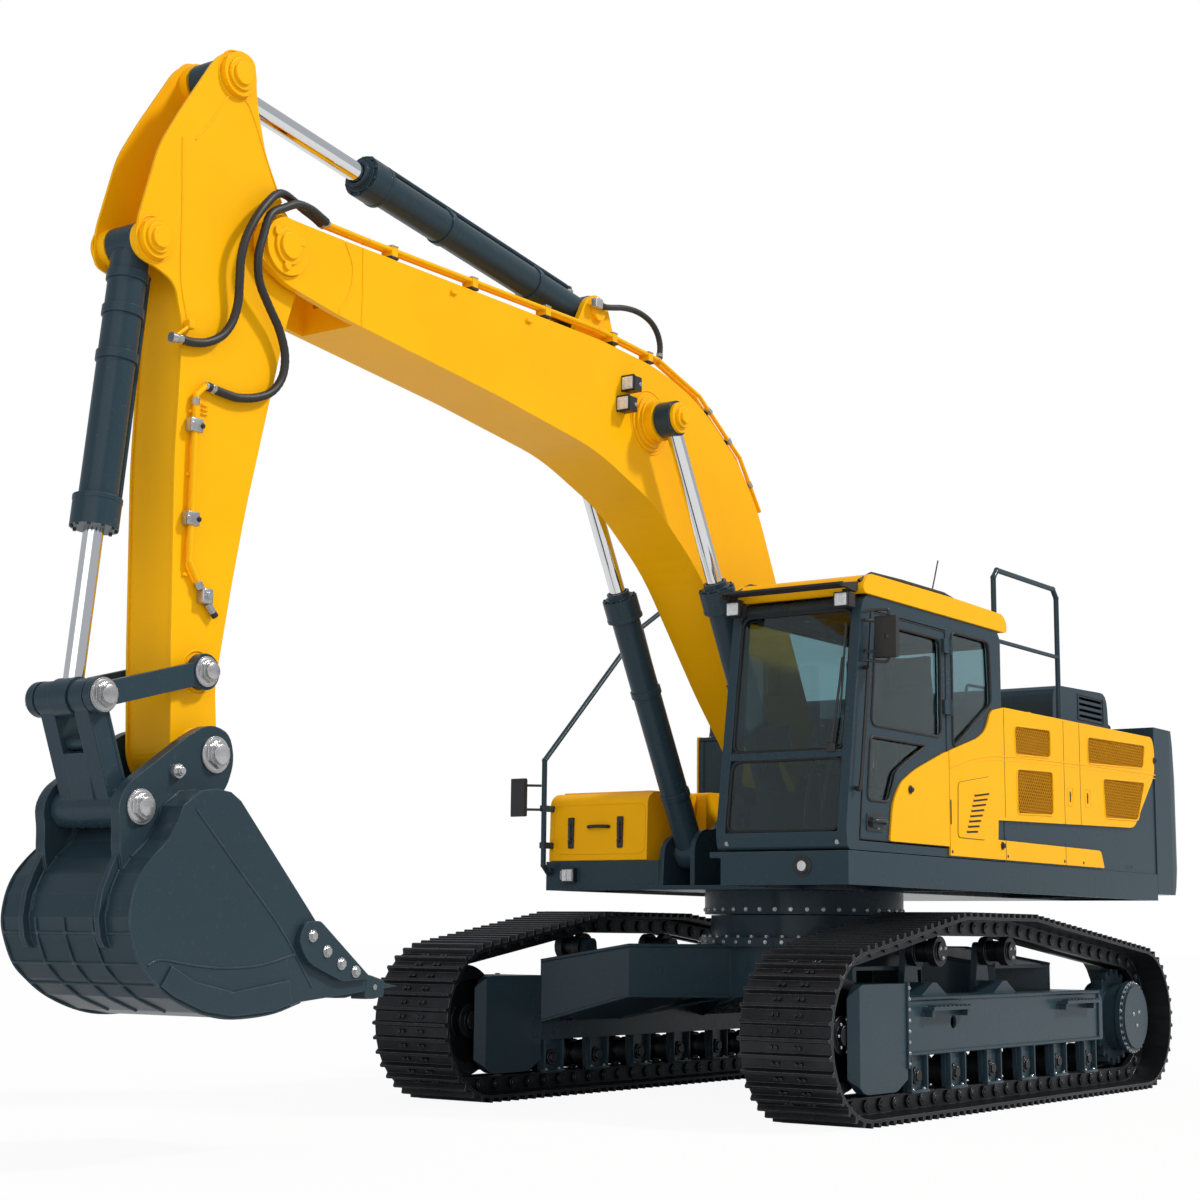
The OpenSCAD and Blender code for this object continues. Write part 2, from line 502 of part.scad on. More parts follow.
arm_out = soft([[5930, 1860, 60], [5990, 1765, 60], [6160, 1765, 70], [6235, 1880, 60], [6262, 2400, 0], [6290, 3300, 100],
    [6270, 3950, 60], [6330, 4170, 80], [6440, 4215, 50], [6590, 4240, 70], [6585, 4420, 60], [6470, 4830, 80],
    [6350, 5040, 80], [6110, 5420, 80], [5960, 5500, 70], [5850, 5480, 60], [5825, 5250, 80], [5750, 5000, 80],
    [5620, 4760, 60], [5470, 4640, 80], [5465, 4430, 80], [5560, 4150, 60], [5800, 3150, 100], [5870, 2800, 100],
    [5965, 2250, 60]]);
arm_web = soft([[5950, 1870, 60], [6000, 1785, 60], [6150, 1785, 70], [6220, 1880, 60], [6254, 2400, 0], [6282, 3300, 100],
    [6262, 3950, 60], [6285, 4400, 100], [6150, 4800, 100], [5850, 4980, 100], [5640, 4750, 60], [5480, 4630, 80],
    [5475, 4430, 80], [5568, 4150, 60], [5808, 3150, 100], [5878, 2800, 100], [5973, 2250, 60]]);
module arm() color([.95, .68, .1]) place() {
    difference() {
        union() {
            both() slab(arm_h - plate, arm_h) polygon(arm_out);
            difference() {
                slab(plate - arm_h - 1, arm_h - plate + 1) polygon(arm_web);
                slab(plate - arm_h - 2, arm_h - plate + 2) polygon(inset(arm_web, plate));
            }
            pin(tip, 150, -172, 172);
            pin(hook, 118, -166, 166);
            both() pin(arm_eye, 112, 96, arm_h + 30);
            both() pin(cyl_base, 98, 92, arm_h + 30);
            pin(idler_pin, 80, -168, 168);
        }
        pin(tip, 62.6, -180, 180);
        pin(hook, 55.6, -220, 220);
        box([5900, -90, 4700], [6040, 90, 5100]);
    }
    pin(cyl_base, 50, -200, 200);
    pin(idler_pin, 48, -235, 235);
}

module arm_pipes() color([.9, .65, .1]) place() both() {
    rail([[6130, arm_h + 26, 3700], [6190, arm_h + 26, 3640], [6190, arm_h + 26, 2820], [6110, arm_h + 26, 2700]], 15);
    for (z = [3460, 3000]) box([6160, arm_h + 1, z], [6220, arm_h + 46, z + 60]);
}

bucket_out = [[4880, 811], [5592, 745], [5790, 696], [6046, 680], [6234, 707], [6418, 775], [6540, 854], [6619, 927],
    [6677, 1046], [6694, 1131], [6677, 1237], [6636, 1324], [6569, 1400], [6480, 1480], [6430, 1560], [6400, 1640],
    [6290, 1715], [6197, 1728], [6102, 1718], [6035, 1680], [5528, 1159], [5247, 863]];
bucket_in = [[4990, 850], [5600, 783], [5800, 733], [6046, 716], [6225, 741], [6400, 806], [6515, 880], [6587, 945],
    [6641, 1055], [6657, 1131], [6641, 1225], [6606, 1300], [6545, 1370], [6455, 1450], [6398, 1545], [6370, 1620],
    [6280, 1680], [6197, 1692], [6115, 1684], [6062, 1655], [5900, 1700], [5400, 1200], [4990, 950]];
module bucket() color([.3, .33, .35]) place() {
    difference() {
        slab(-bucket_h, bucket_h) polygon(bucket_out);
        slab(24 - bucket_h, bucket_h - 24) polygon(bucket_in);
    }
    both() slab(225, 285) polygon(soft([[6050, 1685, 0], [6102, 1706, 0], [6197, 1713, 0], [6288, 1700, 0], [6388, 1632, 0],
        [6418, 1552, 0], [6470, 1480, 0], [6569, 1399, 0], [6615, 1340, 0], [6640, 1440, 60], [6640, 1540, 60], [6660, 1640, 60],
        [6610, 1730, 60], [6230, 1990, 60], [6110, 2045, 60], [5980, 2010, 60], [5945, 1880, 60], [5985, 1760, 40]]));
    both() slab(240, 270) polygon([[6569, 1399], [6636, 1322], [6676, 1236], [6693, 1131], [6676, 1047], [6650, 990], [6690, 1000], [6716, 1040],
        [6732, 1131], [6716, 1246], [6674, 1345], [6630, 1430]]);
    pin(hook, 55, -318, 318);
    pin(bucket_pin, 50, -312, 312);
}

module side_cutters() color([.25, .27, .3]) place() both()
    slab(bucket_h + 1, bucket_h + 33) polygon(soft([[5120, 852, 20], [5330, 840, 20], [5580, 930, 60], [5650, 1040, 60], [5600, 1130, 40],
        [5500, 1130, 20]]));

// bar of half width w between two round ends
module strap(a, b, ra, rb, w, y0, y1) {
    pin(a, ra, y0, y1);
    pin(b, rb, y0, y1);
    slab(y0, y1) let (u = unit(b - a), n = [-u[1], u[0]]) polygon([a - w * n, b - w * n, b + w * n, a + w * n]);
}
module idler_links() color([.14, .15, .16]) place() both() {
    difference() {
        strap(idler_pin, link_pin, 88, 84, 56, 172, 215);
        pin(idler_pin, 48.6, 170, 220);
    }
    pin(link_pin, 52, 200, 250);
}

module h_link() color([.14, .15, .16]) place() difference() {
    union() {
        both() strap(link_pin, bucket_pin, 82, 90, 62, 70, 160);
        pin(bucket_pin, 90, -215, 215);
        let (u = unit(bucket_pin - link_pin), n = [-u[1], u[0]], p = link_pin + 250 * u, q = link_pin + 470 * u)
            slab(-72, 72) polygon([p - 60 * n, q - 70 * n, q + 70 * n, p + 60 * n]);
    }
    pin(bucket_pin, 50.6, -220, 220);
}

// barrel of a cylinder from its base pin a towards pin b
module barrel(a, b, y, r, l, g, bore, rr, er, eh, pr) along(a, b, y) difference() {
    union() {
        rotate([90, 0, 0]) cylinder(r = er, h = 2 * eh, center = true);
        translate([0, 0, er * .6]) cylinder(r = r, h = l - er * .6 - 10);
        translate([0, 0, l - 130]) cylinder(r = g, h = 130);
    }
    rotate([90, 0, 0]) cylinder(r = pr + .6, h = 2 * eh + 2, center = true);
    translate([0, 0, er + 40]) cylinder(r = bore, h = l - er - 140);
    translate([0, 0, l - 110]) cylinder(r = rr + .8, h = 120);
}
// rod of a cylinder between pins a and b, from s after a
module piston(a, b, y, rr, s, er, eh, cr, ch) along(a, b, y) {
    translate([0, 0, s]) cylinder(r = rr, h = norm(b - a) - s - er * .5);
    translate([0, 0, norm(b - a)]) rotate([90, 0, 0]) cylinder(r = er, h = 2 * eh, center = true);
    translate([0, 0, norm(b - a)]) rotate([90, 0, 0]) cylinder(r = cr, h = 2 * ch, center = true);
}
module boom_barrels() color([.15, .18, .2]) place() both()
    barrel(boom_base, boom_eye, boom_cyl_y, 95, 1880, 118, 76, 52, 110, 62, 58);
module boom_rods() color([.8, .8, .82]) place() both()
    piston(boom_base, boom_eye, boom_cyl_y, 52, 900, 112, 56, 60, 56);
module arm_barrel() color([.15, .18, .2]) place()
    barrel(arm_base, arm_eye, 0, 98, 2080, 120, 80, 55, 112, 90, 58);
module arm_rod() color([.8, .8, .82]) place()
    piston(arm_base, arm_eye, 0, 55, 1000, 105, 84, 50, 84);
module bucket_barrel() color([.15, .18, .2]) place()
    barrel(cyl_base, link_pin, 0, 92, 1430, 115, 74, 48, 96, 84, 50);
module bucket_rod() color([.8, .8, .82]) place()
    piston(cyl_base, link_pin, 0, 48, 700, 92, 60, 50, 60);

car_body();
track_frame_l();
track_frame_r();
track_l();
track_r();
idlers();
final_drives();
rollers();
main_frame();
counterweight();
lift_sockets();
cab_shell();
cab_roof();
cab_visor();
cab_glass();
operator_station();
cab_door();
door_glass();
door_panel();
side_walls();
left_panels();
right_panels();
grilles();
engine_hood();
engine_block();
toolbox();
fuel_tank();
handrails();
mirrors();
house_lamps();
exhaust_stack();
boom();
boom_pipes();
boom_lamps();
arm();
arm_pipes();
bucket();
side_cutters();
idler_links();
h_link();
boom_barrels();
boom_rods();
arm_barrel();
arm_rod();
bucket_barrel();
bucket_rod();
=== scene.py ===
import math

import bmesh
import bpy
from mathutils import Matrix, Vector


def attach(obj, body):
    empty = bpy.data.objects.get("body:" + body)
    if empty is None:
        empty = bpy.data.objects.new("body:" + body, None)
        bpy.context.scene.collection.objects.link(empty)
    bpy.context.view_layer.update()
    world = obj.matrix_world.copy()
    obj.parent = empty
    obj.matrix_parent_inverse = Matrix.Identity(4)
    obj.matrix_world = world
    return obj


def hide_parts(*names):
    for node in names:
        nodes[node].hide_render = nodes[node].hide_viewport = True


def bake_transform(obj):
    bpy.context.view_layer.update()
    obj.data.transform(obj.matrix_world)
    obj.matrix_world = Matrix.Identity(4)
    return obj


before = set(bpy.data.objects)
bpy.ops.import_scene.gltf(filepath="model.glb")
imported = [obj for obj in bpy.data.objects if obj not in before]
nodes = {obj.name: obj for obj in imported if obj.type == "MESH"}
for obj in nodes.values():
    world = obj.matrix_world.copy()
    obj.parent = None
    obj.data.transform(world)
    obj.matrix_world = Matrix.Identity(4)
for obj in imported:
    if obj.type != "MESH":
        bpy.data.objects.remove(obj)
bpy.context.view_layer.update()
print("frame loaded with", len(nodes), "nodes")

slewX = 1605  # the slewing axis lies this far behind the frame's middle, mm


def at(x, y, z):  # millimetres from the slewing axis and the ground
    return Vector(((x - slewX) / 1000, y / 1000, z / 1000))


# camera
camera = {"place": (13151.7, 7524.6, 1073.0), "yaw": -2.525, "pitch": .158, "roll": .010, "lens": 63.2}


def makeCamera(c):
    cosP, sinP = math.cos(c["pitch"]), math.sin(c["pitch"])
    ahead = Vector((cosP * math.cos(c["yaw"]), cosP * math.sin(c["yaw"]), sinP))
    right = Vector((math.sin(c["yaw"]), -math.cos(c["yaw"]), 0))
    up = right.cross(ahead)
    cosR, sinR = math.cos(c["roll"]), math.sin(c["roll"])
    right, up = right * cosR + up * sinR, up * cosR - right * sinR
    data = bpy.data.cameras.new("photoCamera")
    data.sensor_width = 36
    data.lens = c["lens"]
    data.clip_end = 500
    cam = bpy.data.objects.new("photoCamera", data)
    bpy.context.scene.collection.objects.link(cam)
    cam.matrix_world = Matrix.Translation(at(*c["place"])) @ Matrix((right, up, -ahead)).transposed().to_4x4()
    bpy.context.scene.camera = cam


makeCamera(camera)


# shader maths
class Wire:
    def __init__(self, finish, socket):
        self.finish, self.socket = finish, socket

    def calc(self, operation, first, second):
        return self.finish.add("ShaderNodeMath", {"operation": operation}, {0: first, 1: second})

    def __add__(self, other): return self.calc("ADD", self, other)
    def __radd__(self, other): return self.calc("ADD", other, self)
    def __sub__(self, other): return self.calc("SUBTRACT", self, other)
    def __rsub__(self, other): return self.calc("SUBTRACT", other, self)
    def __mul__(self, other): return self.calc("MULTIPLY", self, other)
    def __rmul__(self, other): return self.calc("MULTIPLY", other, self)

    def clip(self):
        return self.finish.add("ShaderNodeClamp", {}, {0: self})


class Finish:
    def __init__(self, name, **fixed):
        self.material = bpy.data.materials.new(name)
        self.material.use_nodes = True
        self.tree = self.material.node_tree
        self.tree.nodes.clear()
        out = self.tree.nodes.new("ShaderNodeOutputMaterial")
        self.skin = self.tree.nodes.new("ShaderNodeBsdfPrincipled")
        self.tree.links.new(self.skin.outputs[0], out.inputs[0])
        self.give(**fixed)

    def add(self, kind, settings, sockets, out=0):  # any node: its settings first, then its sockets
        node = self.tree.nodes.new(kind)
        for key, value in settings.items():
            setattr(node, key, value)
        for key, value in sockets.items():
            self.join(value, node.inputs[key])
        return Wire(self, node.outputs[out])

    def join(self, value, socket):
        if isinstance(value, Wire):
            self.tree.links.new(value.socket, socket)
        else:
            socket.default_value = value

    def give(self, **sockets):  # Base_Color stands for the socket Base Color
        for key, value in sockets.items():
            self.join(value, self.skin.inputs[key.replace("_", " ")])

    def mix(self, share, first, second):
        return self.add("ShaderNodeMix", {"data_type": "RGBA"}, {0: share, 6: first, 7: second}, 2)

    def place(self):
        return self.add("ShaderNodeTexCoord", {}, {}, "Object")

    def noise(self, scale, detail=2.0, rough=.5):
        sockets = {"Vector": self.place(), "Scale": scale, "Detail": detail, "Roughness": rough}
        return self.add("ShaderNodeTexNoise", {}, sockets)

    def ramp(self, value, low, high):
        return self.add("ShaderNodeMapRange", {"clamp": True}, {0: value, 1: low, 2: high})

    def edges(self, radius):  # rounded normal, and a mask that is 1 on edges
        soft = self.add("ShaderNodeBevel", {"samples": 4}, {"Radius": radius})
        flat = self.add("ShaderNodeNewGeometry", {}, {}, "Normal")
        facing = self.add("ShaderNodeVectorMath", {"operation": "DOT_PRODUCT"}, {0: soft, 1: flat}, "Value")
        return soft, ((1 - facing) * 7).clip()

    def bump(self, height, strength, distance, normal=None):
        sockets = {"Height": height, "Strength": strength, "Distance": distance}
        if normal:
            sockets["Normal"] = normal
        self.give(Normal=self.add("ShaderNodeBump", {}, sockets))


def rgb(r, g, b):
    return (r, g, b, 1)


def shade(colour, times):
    return (*(min(1, c * times) for c in colour[:3]), 1)


def paint(name, colour, rough, coat, edgeWearAndHighlight, edgeRadius=.006, dust=.0, shine=.25):
    f = Finish(name, IOR=1.5, Coat_Roughness=.08, Specular_IOR_Level=shine)
    soft, edge = f.edges(edgeRadius)
    cloud = f.noise(1.3, 5, rough=.6)
    fine = f.noise(420, 2)
    speck = f.ramp(f.noise(38, 6, rough=.7), .58, .72)
    body = f.mix(f.ramp(cloud, .3, .7), shade(colour, .93), colour)
    # edges lighter in a patchy mask: partly rubbed paint, partly a painted highlight along the edges
    body = f.mix(edge * f.ramp(f.noise(9, 4), .2, .6), body, edgeWearAndHighlight)
    body = f.mix(speck * .06, body, rgb(.35, .33, .3))
    if dust:
        height = f.add("ShaderNodeSeparateXYZ", {}, {0: f.place()}, 2)
        low = (1 - f.ramp(height, .0, 1.1)) * f.ramp(f.noise(4, 5), .35, .75) * dust
        body = f.mix(low.clip(), body, rgb(.21, .18, .14))
    f.give(Base_Color=body, Roughness=(rough + (cloud - .5) * .14 + speck * .12).clip(),
           Coat_Weight=(coat - speck * .2).clip())
    f.bump(fine + cloud * 2, .16, .0006, soft)
    return f.material


yellowPaint = paint("yellowPaint", rgb(.97, .47, .0012), .36, .03, rgb(1, .58, .02), shine=.1)
# darker, more orange copy of the yellow paint: painted shade on the recessed grille wires
shadedMeshPaint = paint("shadedMeshPaint", rgb(.62, .27, .003), .45, .0, rgb(.8, .4, .02), .001, shine=.1)
slatePaint = paint("slatePaint", rgb(.024, .046, .062), .28, .06, rgb(.07, .11, .14), dust=.03, shine=.16)
bucketPaint = paint("bucketPaint", rgb(.023, .043, .057), .3, .06, rgb(.1, .14, .17), .008,
                    dust=.05, shine=.16)
blackPaint = paint("blackPaint", rgb(.007, .008, .009), .5, .03, rgb(.02, .02, .022), shine=.2)


def wornSteel(name, colour, rough, bright, radius):
    f = Finish(name, Metallic=.75)
    soft, edge = f.edges(radius)
    cloud = f.noise(3.5, 6, rough=.65)
    streak = f.noise(60, 4)
    # edges lighter in a streaky mask: partly worn bare steel, partly a painted glint
    wearAndGlint = (edge * f.ramp(streak, .25, .6)).clip()
    body = f.mix(f.ramp(cloud, .35, .65), shade(colour, .6), colour)
    f.give(Base_Color=f.mix(wearAndGlint, body, bright), Roughness=(rough + (streak - .5) * .2 - wearAndGlint * .1).clip())
    f.bump(streak, .25, .001, soft)
    return f.material


trackSteel = wornSteel("trackSteel", rgb(.03, .032, .037), .42, rgb(.2, .2, .22), .005)
bareSteel = wornSteel("bareSteel", rgb(.55, .55, .56), .28, rgb(.8, .8, .8), .002)


def polished(name, colour, rough):
    f = Finish(name, Metallic=1.0)
    line = f.noise(240, 3)
    f.give(Base_Color=f.mix(line, shade(colour, .93), colour), Roughness=rough + line * .05)
    f.bump(line, .03, .0003)
    return f.material


chromeRod = polished("chromeRod", rgb(.83, .84, .86), .04)


def plastic(name, colour, rough, grainScale=700, strength=.2):
    f = Finish(name)
    soft, edge = f.edges(.004)
    grain = f.noise(grainScale, 2)
    cloud = f.noise(2.5, 4)
    body = f.mix(f.ramp(cloud, .3, .7), shade(colour, .8), colour)
    # edges lightened towards twice the colour: painted highlight along the edges
    f.give(Base_Color=f.mix(edge * .4, body, shade(colour, 2)), Roughness=(rough + (grain - .5) * .2).clip())
    f.bump(grain, strength, .0008, soft)
    return f.material


blackPlastic = plastic("blackPlastic", rgb(.016, .016, .018), .42)
seatCloth = plastic("seatCloth", rgb(.022, .023, .026), .85, 1400, .5)
hoseRubber = plastic("hoseRubber", rgb(.014, .013, .013), .5, 900, .3)
# near-black rubber of the real seals, also laid as dark lines on panel gaps, seams, slots and creases:
# painted shade
sealRubberAndPaintedShade = plastic("sealRubberAndPaintedShade", rgb(.006, .006, .007), .6)
cabinPlastic = plastic("cabinPlastic", rgb(.011, .012, .014), .6, 500, .3)
screenGlass = plastic("screenGlass", rgb(.012, .03, .035), .15, 60, .02)


def glass(name, tint):
    f = Finish(name, Transmission_Weight=1.0, IOR=1.45, Coat_Weight=.0)
    haze = f.noise(1.5, 3)
    f.give(Base_Color=f.mix(haze, shade(tint, .94), tint), Roughness=f.ramp(f.noise(6, 6), .6, .9) * .02)
    return f.material


cabGlass = glass("cabGlass", rgb(.34, .49, .52))


def lens(name, low, high):
    f = Finish(name, Transmission_Weight=.25, IOR=1.5, Coat_Weight=1.0)
    y, z = (f.add("ShaderNodeSeparateXYZ", {}, {0: f.place()}, k) for k in (1, 2))
    ribs = f.add("ShaderNodeMath", {"operation": "SINE"}, {0: (y + z) * 900})
    f.give(Base_Color=f.mix(ribs * .5 + .5, low, high), Roughness=.08 + ribs * .03)
    f.bump(ribs, .3, .001)
    return f.material


lampLens = lens("lampLens", rgb(.62, .66, .7), rgb(.9, .92, .94))
redLens = lens("redLens", rgb(.3, .008, .006), rgb(.5, .02, .015))
print("finishes made")

coats = {
    yellowPaint: "door_panel left_panels right_panels toolbox fuel_tank cab_roof boom boom_pipes "
                 "arm arm_pipes",
    slatePaint: "car_body track_frame_l track_frame_r final_drives main_frame counterweight lift_sockets "
                "cab_shell cab_door engine_hood handrails side_walls idler_links h_link boom_barrels "
                "arm_barrel bucket_barrel",
    bucketPaint: "bucket side_cutters",
    blackPaint: "engine_block exhaust_stack",
    trackSteel: "track_l track_r idlers rollers",
    chromeRod: "boom_rods arm_rod bucket_rod",
    cabGlass: "cab_glass door_glass",
    blackPlastic: "operator_station cab_visor mirrors house_lamps boom_lamps",
    shadedMeshPaint: "grilles",
}
for finish, names in coats.items():
    for name in names.split():
        nodes[name].data.materials.clear()
        nodes[name].data.materials.append(finish)
print("nodes coated")


# mesh tools
def sharpen(bm, degrees):
    for face in bm.faces:
        face.smooth = True
    for edge in bm.edges:
        edge.smooth = edge.is_manifold and edge.calc_face_angle(0) < math.radians(degrees)


def newPiece(bm, name, material):
    mesh = bpy.data.meshes.new(name)
    bm.to_mesh(mesh)
    bm.free()
    piece = bpy.data.objects.new(name, mesh)
    bpy.context.scene.collection.objects.link(piece)
    mesh.materials.append(material)
    return piece


class Shape:  # loose solids that become one piece
    def __init__(self):
        self.bm = bmesh.new()

    def box(self, low, high, bevel=0.0, turn=None):
        low, high = at(*low), at(*high)
        made = bmesh.ops.create_cube(self.bm, size=1)["verts"]
        size = high - low
        bmesh.ops.scale(self.bm, vec=[abs(v) for v in size], verts=made)
        if bevel:
            edges = list({e for v in made for e in v.link_edges})
            made = bmesh.ops.bevel(self.bm, geom=edges, offset=bevel / 1000, segments=3, affect="EDGES",
                                   profile=.5)["verts"]
        if turn:
            bmesh.ops.rotate(self.bm, cent=(0, 0, 0), matrix=turn, verts=made)
        bmesh.ops.translate(self.bm, vec=(low + high) / 2, verts=made)

    def rod(self, start, end, r, sides=20, r2=None):
        a, b = at(*start), at(*end)
        along = b - a
        turn = along.to_track_quat("Z", "Y").to_matrix().to_4x4()
        bmesh.ops.create_cone(self.bm, cap_ends=True, segments=sides, radius1=r / 1000,
                              radius2=(r if r2 is None else r2) / 1000, depth=along.length,
                              matrix=Matrix.Translation((a + b) / 2) @ turn)

    def skin(self, one, two):  # faces between two rings of points
        count = len(one)
        for k in range(count):
            self.bm.faces.new((one[k], one[(k + 1) % count], two[(k + 1) % count], two[k]))

    def sleeve(self, start, end, inner, outer, sides=40):  # open ring round an axis
        a, b = at(*start), at(*end)
        turn = (b - a).to_track_quat("Z", "Y")
        loops = [[self.bm.verts.new(foot + turn @ Vector((math.cos(t), math.sin(t), 0)) * r / 1000)
                  for t in (2 * math.pi * k / sides for k in range(sides))]
                 for foot, r in ((a, inner), (a, outer), (b, outer), (b, inner))]
        for one, two in zip(loops, loops[1:] + loops[:1]):
            self.skin(one, two)

    def ball(self, centre, r, flat=(1, 1, 1)):
        bmesh.ops.create_uvsphere(self.bm, u_segments=20, v_segments=12, radius=r / 1000,
                                  matrix=Matrix.Translation(at(*centre)) @ Matrix.Diagonal((*flat, 1)))

    def bolt(self, foot, axis, r, h, washer=True):
        foot, axis = Vector(foot), Vector(axis).normalized()
        if washer:
            self.rod(foot, foot + axis * h * .28, r * 1.45, 12)
        self.rod(foot, foot + axis * h, r, 6)

    def boltRing(self, centre, y, spread, count, r, h, start=0.0, washer=True):  # heads that face outward
        for x, z in ring(centre, spread, count, start):
            self.bolt((x, y, z), (0, 1, 0), r, h, washer)

    def tube(self, points, r, sides=12, ribs=None, closed=False):
        pts = [at(*p) for p in points]
        rings = []
        count = len(pts)
        ahead = (pts[1] - pts[0]).normalized()
        side = ahead.orthogonal().normalized()
        for i, p in enumerate(pts):
            nxt, prv = pts[(i + 1) % count], pts[i - 1]
            if not closed and i == 0:
                run = pts[1] - p
            elif not closed and i == count - 1:
                run = p - prv
            else:
                run = nxt - prv
            run.normalize()
            side = (side - run * side.dot(run)).normalized()
            other = run.cross(side)
            rr = r / 1000 * (1 + ribs * (i % 2) if ribs else 1)
            rings.append([self.bm.verts.new(p + (side * math.cos(t) + other * math.sin(t)) * rr)
                          for t in (2 * math.pi * k / sides for k in range(sides))])
        for i in range(count if closed else count - 1):
            self.skin(rings[i], rings[(i + 1) % count])
        if not closed:
            self.bm.faces.new(rings[0][::-1])
            self.bm.faces.new(rings[-1])

    def plate(self, outline, y0, y1):  # outline of (x, z) drawn through from y0 to y1
        near = [self.bm.verts.new(at(x, y0, z)) for x, z in outline]
        far = [self.bm.verts.new(at(x, y1, z)) for x, z in outline]
        count = len(outline)
        self.bm.faces.new(near)
        self.bm.faces.new(far[::-1])
        for k in range(count):
            self.bm.faces.new((near[k], far[k], far[(k + 1) % count], near[(k + 1) % count]))

    def done(self, name, body, material, slotName, degrees=40, bevel=0.0, mirrored=False):
        if mirrored:
            parts = self.bm.verts[:] + self.bm.edges[:] + self.bm.faces[:]
            for part in bmesh.ops.duplicate(self.bm, geom=parts)["geom"]:
                if isinstance(part, bmesh.types.BMVert):
                    part.co.y = -part.co.y
        bmesh.ops.recalc_face_normals(self.bm, faces=self.bm.faces[:])
        sharpen(self.bm, degrees)
        piece = newPiece(self.bm, name, material)
        if bevel:
            cut = piece.modifiers.new("edge", "BEVEL")
            cut.width, cut.segments = bevel / 1000, 2
            cut.limit_method, cut.angle_limit = "ANGLE", math.radians(40)
        if body:
            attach(piece, body)
        return piece


def curve(points, count):  # smooth line through the points
    pts = [Vector(p) for p in points]
    pts = [pts[0] * 2 - pts[1]] + pts + [pts[-1] * 2 - pts[-2]]
    spans = len(pts) - 3
    line = []
    for i in range(count + 1):
        u = min(i * spans / count, spans - 1e-6)
        k = int(u)
        t = u - k
        a, b, c, d = pts[k:k + 4]
        line.append(.5 * ((2 * b) + (c - a) * t + (2 * a - 5 * b + 4 * c - d) * t * t
                          + (3 * b - a - 3 * c + d) * t ** 3))
    return line


def atSide(points, y):  # points of the side plane, moved to y
    return [(x, y, z) for x, z in points]


def sideCurve(points, y, count):
    return curve(atSide(points, y), count)


def ring(centre, r, count, start=0.0):  # places round a pin, in the side plane
    turns = (start + 2 * math.pi * k / count for k in range(count))
    return [(centre[0] + r * math.cos(t), centre[1] + r * math.sin(t)) for t in turns]


def oblong(x0, z0, x1, z1):
    return [(x0, z0), (x1, z0), (x1, z1), (x0, z1)]


# hoses at the boom head and on the boom, made first
hoses = {
    "stickHose": {"r": 22, "bodies": ("boom", "arm"), "count": 132, "route": [
        (5346, 210, 4752), (5430, 226, 4766), (5491, 230, 4778), (5590, 236, 4772), (5690, 246, 4724),
        (5805, 256, 4650), (5850, 256, 4530), (5875, 250, 4410), (5845, 236, 4290), (5760, 222, 4190),
        (5670, 212, 4090), (5616, 205, 3975), (5622, 200, 3860), (5690, 196, 3765), (5795, 192, 3712),
        (5910, 186, 3686), (5990, 182, 3687), (6066, 180, 3694), (6118, 180, 3700)]},
    "bucketHose": {"r": 22, "bodies": ("boom", "arm"), "count": 116, "route": [
        (5346, 170, 4752), (5430, 186, 4766), (5491, 190, 4778), (5570, 192, 4800), (5650, 202, 4812),
        (5730, 224, 4788), (5815, 242, 4715), (5895, 246, 4612), (5950, 240, 4500), (5975, 232, 4385),
        (5970, 222, 4270), (5965, 212, 4160), (5990, 204, 4055), (6050, 198, 3970), (6140, 192, 3915),
        (6230, 188, 3893), (6300, 186, 3890)]},
    "liftHose": {"r": 19, "bodies": ("boom",), "count": 70, "route": [
        (2150, 182, 4764), (2150, 182, 4800), (2150, 182, 4860), (2180, 182, 4925), (2240, 182, 4975),
        (2320, 182, 5002), (2410, 182, 5012), (2500, 182, 5008), (2590, 182, 4994), (2680, 182, 4972),
        (2760, 182, 4955), (2820, 182, 4955)]},
}


def makeHose(name, h):
    line = curve(h["route"], h["count"])
    tube = Shape()
    tube.tube(line, h["r"] * .97, 14, ribs=.06)
    piece = tube.done(name, None, hoseRubber, "trim_plastic", 70)
    path = [at(*p) for p in line]
    if len(h["bodies"]) == 2:
        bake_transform(piece)
    else:
        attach(piece, h["bodies"][0])


for name, values in hoses.items():
    makeHose(name, values)
print("hoses made")


# light and floor
studio = {"sunFrom": (-.38, .62, .69), "sun": 2.3, "sunAngle": 7, "sky": .5, "floorShare": .93,
          "fillFrom": (.86, .38, .3), "fill": .9, "fillAngle": 60}


def newNodes(tree, kinds):
    tree.nodes.clear()
    return [tree.nodes.new("ShaderNode" + kind) for kind in kinds.split()]


def wireUp(tree, *links):  # node, its output, next node, its input
    for one, output, two, entry in links:
        tree.links.new(one.outputs[output], two.inputs[entry])


